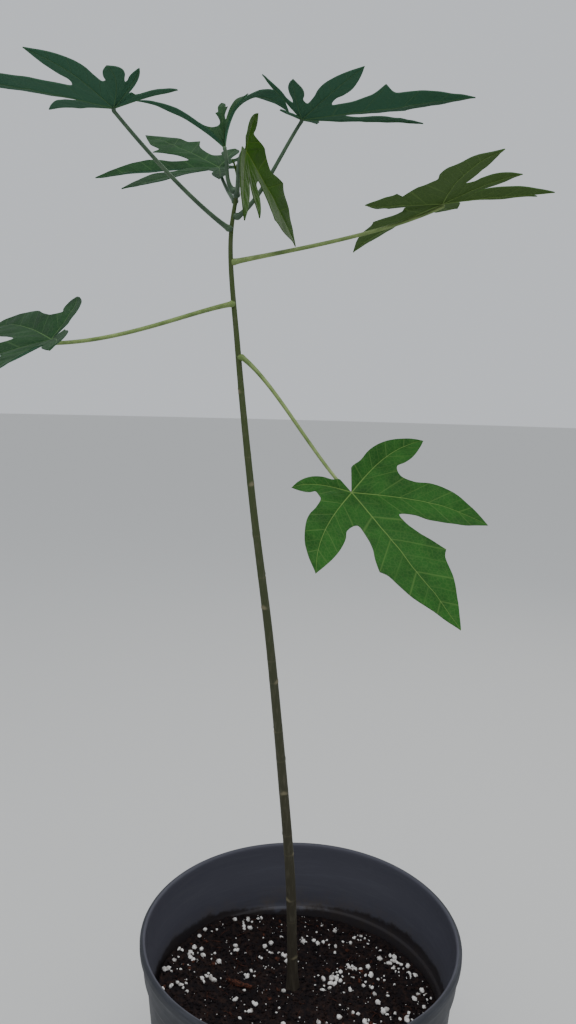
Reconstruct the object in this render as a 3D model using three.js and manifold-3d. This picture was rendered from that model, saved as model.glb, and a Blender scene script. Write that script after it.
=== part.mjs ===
// A young papaya in a plastic nursery pot: one slender leaning stem with eight palmate leaves.
// Millimetres, +Z up. The origin is the centre of the pot's flat underside, and the pot stands on it.

import * as THREE from 'three';
import { mergeVertices } from 'three/addons/utils/BufferGeometryUtils.js';
import Module from 'manifold-3d';

const wasm = await Module();
wasm.setup();

// Driving dimensions
const CLEARANCE = 0.3;

const POT = {
  rimRadius: 140,
  height: 250,
  baseRadius: 115,
  wall: 3,
  floor: 4,
  collarHeight: 32,
  collarFlare: 5,
  lipWidth: 5,
  ledgeHeight: 184,
  ledgeWidth: 2,
  sides: 64,
};

const DRAIN = { count: 8, radius: 6, circle: 82, sides: 12 };

// bank: the mix heaped against the wall at one side, with its heading in degrees and where it starts
const SOIL = {
  level: 179,
  edgeDrop: 4,
  swell: 1.2,
  flatRadius: 14,
  bank: { height: 15, heading: 172, from: 62, to: 122 },
  rings: 6,
};

const STEM = {
  // centre line from the soil to the growing tip
  course: [[-5, 16], [-10, 4, 290], [-20, -14, 400], [-33, -35, 522], [-47, -56, 630], [-59, -80, 745],
    [-64, -95, 816], [-59, -102, 850]],
  footRadius: 4.5,
  tipRadius: 1.3,
  flareRadius: 1.6,
  flareHeight: 14,
  rings: 34,
  sides: 12,
};

const STALK = { baseRadius: 2.0, waistRadius: 1.5, tipRadius: 1.1, collar: 0.08, rings: 14, sides: 8 };

const BLADE = {
  thickness: 2,
  basalDepth: 0.8,
  slimmest: 0.55,
  vFold: 0.14,
  veinSlant: 0.8,
};

// Two kinds of leaf. sinus: how far from the joint two lobes part beside the middle lobe, as a share
// of their length; basalWeb: how much further out they part towards the stalk. basalSpread: the angle
// between a basal lobe's midrib and the leaf's own edge. forwardSweep: how far side lobes curve
// forward, in degrees.
// toothed and smooth: half outlines of one lobe, as shares of the way from its neck to its tip and of
// its length across; a toothed lobe is widest at a side tooth, with a notch beyond it. Short lobes are
// slimmer than that, down to BLADE.slimmest.
const OUTLINE = {
  broad: {
    sinus: 0.31,
    basalWeb: 0.45,
    basalSpread: 38,
    forwardSweep: 13,
    toothed: [[0.2, 0.16], [0.31, 0.2], [0.42, 0.235], [0.47, 0.2], [0.65, 0.155], [0.84, 0.075], [1, 0]],
    smooth: [[0.16, 0.17], [0.33, 0.188], [0.51, 0.178], [0.68, 0.14], [0.85, 0.077], [1, 0]],
  },
  cut: {
    sinus: 0.27,
    basalWeb: 0.2,
    basalSpread: 26,
    forwardSweep: 3,
    toothed: [[0.18, 0.115], [0.3, 0.15], [0.43, 0.23], [0.48, 0.145], [0.64, 0.135], [0.83, 0.07], [1, 0]],
    smooth: [[0.18, 0.11], [0.31, 0.14], [0.46, 0.15], [0.64, 0.125], [0.83, 0.068], [1, 0]],
  },
};

// Rows of the mesh between the joint and the sinus, where they start on the midrib, where a lobe's neck
// lies on it, both as shares of the sinus, and the angle kept free beside a bisector
const INNER_SHARES = [0.5, 1];
const RIB_SETBACK = 0.5;
const RIB_NECK = 0.8;
const BISECTOR_GAP = 1.5;

// Leaves from the lowest up. node: height on the stem. joint: where the stalk meets the blade.
// heading, pitch, roll: the way the middle lobe points from the joint, in degrees. cup: how far the
// lobes lift at the joint; droop: how far they bend down in each 100 mm, both in degrees. arch: how
// far the stalk bows upward. lobes: turn of the tip from the heading in degrees and length in mm, then,
// where a lobe differs, the degrees that it lifts beyond the cup, and its own droop. teeth: the lobes
// with side teeth.
const LEAVES = [
  { node: 739, joint: [22, -118, 649], heading: -45, pitch: -46, roll: 16, cup: 11, droop: 4, arch: 2,
    outline: 'broad', teeth: [2], lobes: [[-104, 48], [-52, 86], [0, 120], [50, 95], [104, 74]] },
  { node: 775, joint: [-156, -199, 740], heading: 175, pitch: -24, roll: -25, cup: 10, droop: 9, arch: 0,
    outline: 'broad', teeth: [2], lobes: [[-105, 49], [-50, 81], [0, 91], [50, 80], [104, 52]] },
  { node: 802, joint: [79, -88, 845], heading: -8, pitch: 11, roll: -2, cup: 3, droop: 10, arch: 0,
    outline: 'broad', teeth: [0, 4, 6], lobes: [[-141, 66, -2], [-68, 88, 3], [-32, 58], [2, 74, -5],
      [40, 95, 6], [76, 60, 9], [143, 84, -5]] },
  { node: 823, joint: [-127, -170, 874], heading: 181, pitch: -9, roll: -5, cup: 17, droop: 9, arch: 0,
    outline: 'broad', teeth: [], lobes: [[-140, 49], [-80, 42], [-44, 66], [-4, 88, 5], [56, 64, 5],
      [98, 43, -2], [134, 32, 7]] },
  { node: 831, joint: [-18, -112, 889], heading: -14, pitch: -16, roll: 2, cup: 12, droop: 2, arch: 0,
    outline: 'cut', teeth: [3], lobes: [[-128, 39, 8], [-86, 48], [-49, 71, 9], [-7, 110, 6], [40, 91, 7],
      [94, 46], [133, 39]] },
  { node: 840, joint: [-77, -48, 875], heading: 175, pitch: -4, roll: -28, cup: 6, droop: 8, arch: 0,
    outline: 'cut', teeth: [2], lobes: [[-134, 34], [-96, 56, -3], [-45, 93, 6], [0, 92, -3], [46, 83],
      [98, 49], [136, 36]] },
  { node: 846, joint: [-68, -108, 872], heading: 100, pitch: 0, roll: -6, cup: 80, droop: 120, arch: 0,
    outline: 'cut', teeth: [2], lobes: [[-112, 36], [-50, 90], [-8, 49], [78, 64, -34, 45]] },
  { node: 844, joint: [-52, -142, 860], heading: 62, pitch: -48, roll: 79, cup: 9, droop: 7, arch: 3,
    outline: 'broad', teeth: [2], lobes: [[-73, 58], [-44, 42], [7, 74], [108, 31]] },
];

const SHOOT = { height: 15, radius: 1.7, leaflets: 3, leafletLength: 17, leafletRadius: 1.5 };

const FINISH = {
  pot: { color: '#3f424c', roughness: 0.5 },
  soil: { color: '#1d1614', roughness: 1 },
  stem: { color: '#4c4d3c', roughness: 0.8 },
  stalk: { color: '#7d8a58', roughness: 0.6 },
  blade: { color: '#3a6031', roughness: 0.6 },
  shoot: { color: '#5c7a3a', roughness: 0.6 },
};

const group = new THREE.Group();

function add(name, geometry, finish) {
  const material = new THREE.MeshStandardMaterial({ ...FINISH[finish], metalness: 0 });
  const mesh = new THREE.Mesh(geometry, material);
  mesh.name = name;
  group.add(mesh);
}

// A closed mesh whose shared corners are merged, with positions alone
function welded(geometry) {
  const bare = geometry.clone();
  bare.deleteAttribute('normal');
  bare.deleteAttribute('uv');
  return mergeVertices(bare, 1e-4);
}

function solidOf(geometry) {
  const source = welded(geometry);
  return new wasm.Manifold(new wasm.Mesh({
    numProp: 3,
    vertProperties: new Float32Array(source.attributes.position.array),
    triVerts: new Uint32Array(source.index.array),
  }));
}

function geometryOf(solid) {
  const mesh = solid.getMesh();
  const geometry = new THREE.BufferGeometry();
  geometry.setAttribute('position', new THREE.BufferAttribute(mesh.vertProperties, 3));
  geometry.setIndex(new THREE.BufferAttribute(mesh.triVerts, 1));
  return geometry;
}

function meshOf(points, faces) {
  const geometry = new THREE.BufferGeometry();
  const numbers = points.flatMap((p) => [p.x, p.y, p.z]);
  geometry.setAttribute('position', new THREE.Float32BufferAttribute(numbers, 3));
  geometry.setIndex(faces.flat());
  return geometry;
}

// A turned solid about the Z axis from a profile of [radius, height] points
function turned(profile, sides) {
  const geometry = new THREE.LatheGeometry(profile.map(([r, z]) => new THREE.Vector2(r, z)), sides);
  geometry.rotateX(Math.PI / 2);
  return welded(geometry);
}

// Pot
function wallRadius(z) {
  const collarFoot = POT.height - POT.collarHeight;
  return THREE.MathUtils.mapLinear(z, 0, collarFoot, POT.baseRadius, POT.rimRadius - POT.collarFlare - 1);
}

function innerRadius(z) {
  const aboveLedge = z > POT.ledgeHeight - 1;
  return wallRadius(z) - POT.wall - (aboveLedge ? 0 : POT.ledgeWidth);
}

function potGeometry() {
  const { rimRadius: rim, height, floor, collarFlare: flare, lipWidth: lip, ledgeHeight: ledge } = POT;
  const collarFoot = height - POT.collarHeight;
  const profile = [
    [0, 0], [POT.baseRadius - 2, 0], [wallRadius(3), 3], [wallRadius(collarFoot), collarFoot],
    [rim - flare + 1.5, collarFoot + 4], [rim - 1.2, height - 16], [rim, height - 6],
    [rim - 0.6, height - 1.6], [rim - lip / 2 + 0.3, height], [rim - lip + 0.8, height - 1.2],
    [rim - lip, height - 4], [rim - lip - 1.2, collarFoot + 8], [innerRadius(collarFoot), collarFoot],
    [innerRadius(ledge), ledge + 1], [innerRadius(ledge - 2), ledge - 1.5],
    [innerRadius(floor + 4), floor + 4], [innerRadius(floor) - 5, floor], [0, floor],
  ];
  let pot = solidOf(turned(profile, POT.sides));
  for (let i = 0; i < DRAIN.count; i += 1) {
    const angle = (2 * Math.PI * (i + 0.5)) / DRAIN.count;
    const drill = new THREE.CylinderGeometry(DRAIN.radius, DRAIN.radius, 4 * floor, DRAIN.sides);
    drill.rotateX(Math.PI / 2);
    drill.translate(DRAIN.circle * Math.cos(angle), DRAIN.circle * Math.sin(angle), 0);
    pot = pot.subtract(solidOf(drill));
  }
  return geometryOf(pot);
}

// Potting mix: fills the pot, heaped against the wall on the left and flat round the stem's foot
function soilHeight(x, y) {
  const fromStem = Math.hypot(x - STEM.course[0][0], y - STEM.course[0][1]);
  const blend = THREE.MathUtils.smoothstep(fromStem, SOIL.flatRadius, 4 * SOIL.flatRadius);
  const swell = SOIL.swell * (Math.sin(x / 17 + 1) + Math.sin(y / 13) + Math.sin((x + y) / 29));
  const fall = (SOIL.edgeDrop * (x / POT.baseRadius + 1)) / 2;
  const heading = THREE.MathUtils.degToRad(SOIL.bank.heading);
  const facing = Math.max(0, Math.cos(Math.atan2(y, x) - heading));
  const rise = THREE.MathUtils.smoothstep(Math.hypot(x, y), SOIL.bank.from, SOIL.bank.to);
  return SOIL.level + blend * (swell - fall) + SOIL.bank.height * rise * facing ** 2;
}

function soilGeometry() {
  const gap = CLEARANCE + 0.2;
  const edge = innerRadius(SOIL.level - SOIL.edgeDrop - 3 * SOIL.swell) - gap;
  const shoulder = SOIL.level - 12;
  const profile = [[0, POT.floor + gap], [innerRadius(POT.floor) - 5 - gap, POT.floor + gap],
    [innerRadius(POT.floor + 4) - gap, POT.floor + 4 + gap], [innerRadius(shoulder) - gap, shoulder]];
  for (let i = 0; i < SOIL.rings; i += 1) {
    profile.push([edge * (1 - i / SOIL.rings), SOIL.level]);
  }
  profile.push([0, SOIL.level]);
  const geometry = turned(profile, POT.sides);
  const position = geometry.attributes.position;
  for (let i = 0; i < position.count; i += 1) {
    if (position.getZ(i) > shoulder + 1) {
      position.setZ(i, soilHeight(position.getX(i), position.getY(i)));
    }
  }
  return geometry;
}

// Stem and stalks: one tapering limb along a curve, closed by a flat face at each end
function limbGeometry(curve, radiusAt, rings, sides) {
  const frames = curve.computeFrenetFrames(rings, false);
  const points = [];
  const faces = [];
  for (let i = 0; i <= rings; i += 1) {
    const centre = curve.getPointAt(i / rings);
    for (let j = 0; j < sides; j += 1) {
      const angle = (2 * Math.PI * j) / sides;
      const offset = frames.normals[i].clone().multiplyScalar(Math.cos(angle));
      offset.addScaledVector(frames.binormals[i], Math.sin(angle));
      points.push(centre.clone().addScaledVector(offset, radiusAt(i / rings)));
    }
  }
  const at = (i, j) => i * sides + (j % sides);
  for (let i = 0; i < rings; i += 1) {
    for (let j = 0; j < sides; j += 1) {
      faces.push([at(i, j), at(i, j + 1), at(i + 1, j + 1)]);
      faces.push([at(i, j), at(i + 1, j + 1), at(i + 1, j)]);
    }
  }
  for (let j = 1; j < sides - 1; j += 1) {
    faces.push([at(0, 0), at(0, j + 1), at(0, j)]);
    faces.push([at(rings, 0), at(rings, j), at(rings, j + 1)]);
  }
  return meshOf(points, faces);
}

const stemFoot = SOIL.level + CLEARANCE;
const stemCurve = new THREE.CatmullRomCurve3(
  STEM.course.map(([x, y, z = stemFoot]) => new THREE.Vector3(x, y, z)),
);

function stemRadius(share) {
  const height = share * stemCurve.getLength();
  const taper = THREE.MathUtils.lerp(STEM.footRadius, STEM.tipRadius, share ** 1.5);
  return taper + STEM.flareRadius * Math.exp(-height / STEM.flareHeight);
}

function stemGeometry() {
  const geometry = limbGeometry(stemCurve, stemRadius, STEM.rings, STEM.sides);
  const position = geometry.attributes.position;
  for (let i = 0; i < STEM.sides; i += 1) {
    position.setZ(i, stemFoot);
  }
  return geometry;
}

// The share of the stem's length at which it reaches a height
function stemShareAt(z) {
  let low = 0;
  let high = 1;
  for (let i = 0; i < 30; i += 1) {
    const middle = (low + high) / 2;
    if (stemCurve.getPointAt(middle).z < z) low = middle;
    else high = middle;
  }
  return low;
}

// The blade's own axes: heading, side to its left, and up
function bladeAxes(leaf) {
  const [a, p, r] = [leaf.heading, leaf.pitch, leaf.roll].map(THREE.MathUtils.degToRad);
  const heading = new THREE.Vector3(Math.cos(a) * Math.cos(p), Math.sin(a) * Math.cos(p), Math.sin(p));
  const level = new THREE.Vector3(-Math.sin(a), Math.cos(a), 0);
  const side = level.clone().multiplyScalar(Math.cos(r));
  side.addScaledVector(heading.clone().cross(level), Math.sin(r));
  return { heading, side, up: heading.clone().cross(side) };
}

// The lift at the joint and the droop per millimetre along a ray, both in radians: they change evenly
// from the lobe on one side of the ray to the lobe on the other
function bendAlong(leaf, turn) {
  const own = leaf.lobes.map(([angle, , lift = 0, droop = leaf.droop]) => ({ angle, lift, droop }));
  const next = own.findIndex(({ angle }) => angle > turn);
  const high = next < 0 ? own.at(-1) : own[next];
  const low = next < 1 ? high : own[next - 1];
  const share = low === high ? 0 : (turn - low.angle) / (high.angle - low.angle);
  const lift = leaf.cup + THREE.MathUtils.lerp(low.lift, high.lift, share);
  const droop = THREE.MathUtils.lerp(low.droop, high.droop, share);
  return { lift: THREE.MathUtils.degToRad(lift), bend: THREE.MathUtils.degToRad(droop) / 100 };
}

// Bends a flat blade point down along its own ray, and lifts it by its distance from the midrib. The
// joint itself has no ray, so its two faces lie above and below it.
function bladePoint(leaf, axes, x, y, fold, layer) {
  const reach = Math.hypot(x, y);
  if (reach === 0) return new THREE.Vector3(...leaf.joint).addScaledVector(axes.up, layer);
  const turn = Math.atan2(y, x);
  const { lift, bend } = bendAlong(leaf, THREE.MathUtils.radToDeg(turn));
  const tilt = lift - bend * reach;
  const out = (Math.sin(lift) - Math.sin(tilt)) / bend;
  const rise = (Math.cos(tilt) - Math.cos(lift)) / bend;
  const ray = axes.heading.clone().multiplyScalar(Math.cos(turn)).addScaledVector(axes.side, Math.sin(turn));
  const normal = axes.up.clone().multiplyScalar(Math.cos(tilt)).addScaledVector(ray, -Math.sin(tilt));
  const point = new THREE.Vector3(...leaf.joint).addScaledVector(ray, out).addScaledVector(axes.up, rise);
  return point.addScaledVector(normal, fold + layer);
}

// A side lobe starts out wider than its tip and curves forward to it; the sweep is in degrees
function forwardSweep(leaf, index) {
  return OUTLINE[leaf.outline].forwardSweep * Math.sin(THREE.MathUtils.degToRad(leaf.lobes[index][0]));
}

function lobeOutline(leaf, index) {
  const kind = OUTLINE[leaf.outline];
  return leaf.teeth.includes(index) ? kind.toothed : kind.smooth;
}

// A point of a lobe's plan, given along and across its midrib as shares of its length
function lobePoint(leaf, index, along, across, key) {
  const [turn, length] = leaf.lobes[index];
  const reach = Math.min(1, Math.hypot(along, across));
  const angle = THREE.MathUtils.degToRad(turn + forwardSweep(leaf, index) * (1 - reach ** 2));
  return {
    x: length * (along * Math.cos(angle) - across * Math.sin(angle)),
    y: length * (along * Math.sin(angle) + across * Math.cos(angle)),
    across: length * Math.abs(across),
    key,
  };
}

// One side of a lobe: points on the bisector it shares with its neighbour, then its own margin
function lobeSide(leaf, index, hand) {
  const kind = OUTLINE[leaf.outline];
  const [turn, length] = leaf.lobes[index];
  const neighbour = leaf.lobes[index + hand];
  const base = turn + forwardSweep(leaf, index);
  const half = neighbour
    ? Math.abs(neighbour[0] + forwardSweep(leaf, index + hand) - base) / 2
    : kind.basalSpread;
  const reach = neighbour ? (length + neighbour[1]) / 2 : BLADE.basalDepth * length;
  const edge = THREE.MathUtils.degToRad(base + hand * half);
  const web = neighbour ? 1 + kind.basalWeb * (1 - Math.cos(edge)) : 1;
  const depth = kind.sinus * web * reach;
  const neck = (depth / length) * Math.cos(THREE.MathUtils.degToRad(half));
  const room = Math.tan(THREE.MathUtils.degToRad(half - BISECTOR_GAP));
  const longest = Math.max(...leaf.lobes.map((lobe) => lobe[1]));
  const slim = THREE.MathUtils.lerp(BLADE.slimmest, 1, length / longest);
  const outline = lobeOutline(leaf, index).map(
    ([free, across]) => [neck + (1 - neck) * free, across * slim],
  );
  const widest = Math.max(...outline.map(([along, across]) => across / along));
  const narrow = neighbour ? Math.min(1, room / widest) : 1;
  const inner = INNER_SHARES.map((share) => ({
    x: share * depth * Math.cos(edge),
    y: share * depth * Math.sin(edge),
    across: share * depth * Math.sin(THREE.MathUtils.degToRad(half)),
    key: `${Math.min(index, index + hand)}:${share}`,
  }));
  const outer = outline.map(([along, across], i, all) => {
    const key = i === all.length - 1 ? `tip${index}` : `${index}:${hand}:${i}`;
    return lobePoint(leaf, index, along, hand * across * narrow, key);
  });
  return [...inner, ...outer];
}

// Midrib points of a lobe, set back from its margin points so that the rows run like side veins
function lobeMidrib(leaf, index) {
  const neck = RIB_NECK * OUTLINE[leaf.outline].sinus;
  const inner = INNER_SHARES.map((share) => RIB_SETBACK * share * OUTLINE[leaf.outline].sinus);
  const outer = lobeOutline(leaf, index).map(
    ([free, across]) => neck + (1 - neck) * free - BLADE.veinSlant * across,
  );
  return [...inner, ...outer].map((along, i, all) => {
    const key = i === all.length - 1 ? `tip${index}` : `${index}:rib:${i}`;
    return lobePoint(leaf, index, along, 0, key);
  });
}

function bladeGeometry(leaf) {
  const axes = bladeAxes(leaf);
  const flat = [{ x: 0, y: 0, across: 0 }];
  const keys = new Map();
  const numbered = (point) => {
    if (!keys.has(point.key)) {
      keys.set(point.key, flat.length);
      flat.push(point);
    }
    return keys.get(point.key);
  };
  const upper = [];
  leaf.lobes.forEach((lobe, index) => {
    const rib = lobeMidrib(leaf, index).map(numbered);
    for (const hand of [-1, 1]) {
      const edge = lobeSide(leaf, index, hand).map(numbered);
      let before = [0, 0];
      rib.forEach((onRib, i) => {
        const [lastRib, lastEdge] = before;
        const corners = hand > 0 ? [lastRib, onRib, edge[i], lastEdge] : [lastRib, lastEdge, edge[i], onRib];
        const [a, b, c, d] = corners;
        if (a !== b && b !== c && c !== a) upper.push([a, b, c]);
        if (a !== c && c !== d && d !== a) upper.push([a, c, d]);
        before = [onRib, edge[i]];
      });
    }
  });
  const count = flat.length;
  const layers = [BLADE.thickness / 2, -BLADE.thickness / 2];
  const points = layers.flatMap((layer) => flat.map(
    (p) => bladePoint(leaf, axes, p.x, p.y, BLADE.vFold * p.across, layer),
  ));
  const directed = new Set(upper.flatMap(([a, b, c]) => [`${a},${b}`, `${b},${c}`, `${c},${a}`]));
  const faces = [...upper, ...upper.map(([a, b, c]) => [a + count, c + count, b + count])];
  for (const edge of directed) {
    const [a, b] = edge.split(',').map(Number);
    if (!directed.has(`${b},${a}`)) {
      faces.push([a, a + count, b + count], [a, b + count, b]);
    }
  }
  return meshOf(points, faces);
}

// A stalk leaves the stem square to it and runs in under the blade's joint
function stalkCurve(leaf) {
  const share = stemShareAt(leaf.node);
  const centre = stemCurve.getPointAt(share);
  const along = stemCurve.getTangentAt(share);
  const axes = bladeAxes(leaf);
  const joint = new THREE.Vector3(...leaf.joint);
  const outward = joint.clone().sub(centre);
  outward.addScaledVector(along, -outward.dot(along)).normalize();
  const span = joint.distanceTo(centre);
  const toEnd = joint.clone().sub(centre).normalize();
  const arrive = toEnd.clone().multiplyScalar(0.3 * span).addScaledVector(axes.up, 0.05 * span);
  arrive.z -= leaf.arch;
  const rimLift = STALK.tipRadius * Math.sin(arrive.angleTo(axes.up));
  const end = joint.clone().addScaledVector(axes.up, -BLADE.thickness / 2 - CLEARANCE - rimLift);
  const leave = outward.clone().multiplyScalar(0.05 * span + 3).addScaledVector(toEnd, 0.2 * span);
  const slant = Math.sin(leave.angleTo(outward));
  const standoff = stemRadius(share) + CLEARANCE + 0.1 + slant * STALK.baseRadius;
  const start = centre.clone().addScaledVector(outward, standoff);
  const first = start.clone().add(leave);
  first.z += leaf.arch;
  return new THREE.CubicBezierCurve3(start, first, end.clone().sub(arrive), end);
}

function stalkRadius(share) {
  const swelling = (STALK.baseRadius - STALK.waistRadius) * Math.exp(-share / STALK.collar);
  return THREE.MathUtils.lerp(STALK.waistRadius, STALK.tipRadius, share) + swelling;
}

// The growing tip: a pointed bud with the first leaflets folded round it
function shootGeometry() {
  const tip = stemCurve.getPointAt(1);
  const along = stemCurve.getTangentAt(1);
  const foot = tip.clone().addScaledVector(along, CLEARANCE);
  const budCurve = new THREE.LineCurve3(foot, foot.clone().addScaledVector(along, SHOOT.height));
  let shoot = solidOf(limbGeometry(budCurve, (s) => SHOOT.radius * (1 - s) ** 0.7 + 0.25, 6, 8));
  for (let i = 0; i < SHOOT.leaflets; i += 1) {
    const angle = (2 * Math.PI * (i + 0.4)) / SHOOT.leaflets;
    const out = new THREE.Vector3(Math.cos(angle), Math.sin(angle), 0);
    const start = foot.clone().addScaledVector(along, 2.5);
    const end = start.clone().addScaledVector(along, SHOOT.leafletLength - 3 * i).addScaledVector(out, 4);
    const bow = start.clone().lerp(end, 0.4).addScaledVector(out, 2.5);
    const curve = new THREE.QuadraticBezierCurve3(start, bow, end);
    const radius = (s) => SHOOT.leafletRadius * Math.sin(Math.PI * (0.12 + 0.82 * s)) + 0.15;
    shoot = shoot.add(solidOf(limbGeometry(curve, radius, 7, 6)));
  }
  return geometryOf(shoot);
}

add('pot', potGeometry(), 'pot');
add('potting_mix', soilGeometry(), 'soil');
add('stem', stemGeometry(), 'stem');
LEAVES.forEach((leaf, i) => {
  add(`leaf_${i + 1}_stalk`, limbGeometry(stalkCurve(leaf), stalkRadius, STALK.rings, STALK.sides), 'stalk');
  add(`leaf_${i + 1}_blade`, bladeGeometry(leaf), 'blade');
});
add('shoot_tip', shootGeometry(), 'shoot');

export default group;
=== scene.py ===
"""A young papaya in a plastic nursery pot: the looks of every piece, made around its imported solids.

Lengths in the classes are millimetres in the part's frame, with +Z up and the origin at the centre of
the pot's underside. Meshes are written in metres.
"""

import logging
import math
from dataclasses import dataclass, field
from enum import Enum
from functools import cached_property, partial
from typing import Sequence

import bpy
import numpy as np
from mathutils import Matrix, Vector
from mathutils import noise as perlin


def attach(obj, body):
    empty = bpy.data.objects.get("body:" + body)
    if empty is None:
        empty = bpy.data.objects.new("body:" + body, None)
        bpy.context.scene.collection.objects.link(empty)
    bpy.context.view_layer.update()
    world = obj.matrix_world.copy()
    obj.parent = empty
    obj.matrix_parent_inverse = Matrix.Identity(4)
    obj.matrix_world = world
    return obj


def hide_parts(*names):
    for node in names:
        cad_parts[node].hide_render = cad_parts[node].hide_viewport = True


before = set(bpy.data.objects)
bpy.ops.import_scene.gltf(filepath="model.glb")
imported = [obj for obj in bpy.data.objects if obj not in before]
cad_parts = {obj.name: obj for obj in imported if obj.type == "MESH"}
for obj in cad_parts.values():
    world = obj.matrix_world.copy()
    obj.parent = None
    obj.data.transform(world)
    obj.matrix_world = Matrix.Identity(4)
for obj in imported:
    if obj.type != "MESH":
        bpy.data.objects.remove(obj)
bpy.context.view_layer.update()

MM = 0.001
BODY = "root"
CLEARANCE = 0.3
GOLDEN_ANGLE = math.radians(137.5)

log = logging.getLogger("papaya")

Array = np.ndarray
Mesh = tuple[Array, list]
Object = bpy.types.Object
Tree = bpy.types.NodeTree
Node = bpy.types.Node
Socket = bpy.types.NodeSocket
Settings = dict[str | int, object]
Links = dict[str | int, Node | Socket]


def linear(code: str) -> tuple[float, float, float, float]:
    """Turns an sRGB hex colour into linear light.

    Args:
        code: a colour such as "#3f424c".

    Returns:
        Red, green, blue and an alpha of 1.
    """
    shares = [int(code[i : i + 2], 16) / 255 for i in (1, 3, 5)]
    light = [s / 12.92 if s <= 0.04045 else ((s + 0.055) / 1.055) ** 2.4 for s in shares]
    return (*light, 1.0)


def per_metre(size_mm: float) -> float:
    """Gives the texture scale at which a pattern repeats about every size_mm millimetres."""
    return 1 / (size_mm * MM)


def set_inputs(tree: Tree, node: Node, settings: Settings, links: Links) -> None:
    """Sets a node's values and links what feeds it.

    Args:
        tree: the node tree that holds the node.
        node: the node.
        settings: values by input name or number, or by the node's own property name.
        links: outputs by input name or number; a node stands for its first output in use.
    """
    own = [name for name in settings if isinstance(name, str) and name in node.bl_rna.properties]
    for name in own:
        setattr(node, name, settings[name])
    for name in settings.keys() - set(own):
        node.inputs[name].default_value = settings[name]
    for name, source in links.items():
        output = source if isinstance(source, Socket) else next(o for o in source.outputs if o.enabled)
        tree.links.new(output, node.inputs[name])


def add_node(tree: Tree, kind: str, settings: Settings | None = None, links: Links | None = None) -> Node:
    """Adds a node with its settings and links.

    Args:
        tree: the node tree that gets the node.
        kind: the node's type, without the leading "ShaderNode".
        settings: values, as set_inputs takes them.
        links: what feeds the node, as set_inputs takes it.

    Returns:
        The new node.
    """
    node = tree.nodes.new("ShaderNode" + kind)
    set_inputs(tree, node, settings or {}, links or {})
    return node


@dataclass(frozen=True)
class Finish:
    """The look of one real material."""

    name: str

    def material(self) -> bpy.types.Material:
        """Makes the material with its own nodes.

        Returns:
            The material.
        """
        made = bpy.data.materials.new(self.name)
        made.use_nodes = True
        self.dress(made.node_tree, made.node_tree.nodes["Principled BSDF"])
        return made

    def dress(self, tree: Tree, surface: Node) -> None:
        """Adds the nodes that colour and roughen the surface.

        Args:
            tree: the material's node tree.
            surface: its Principled shader.
        """
        raise NotImplementedError


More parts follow.
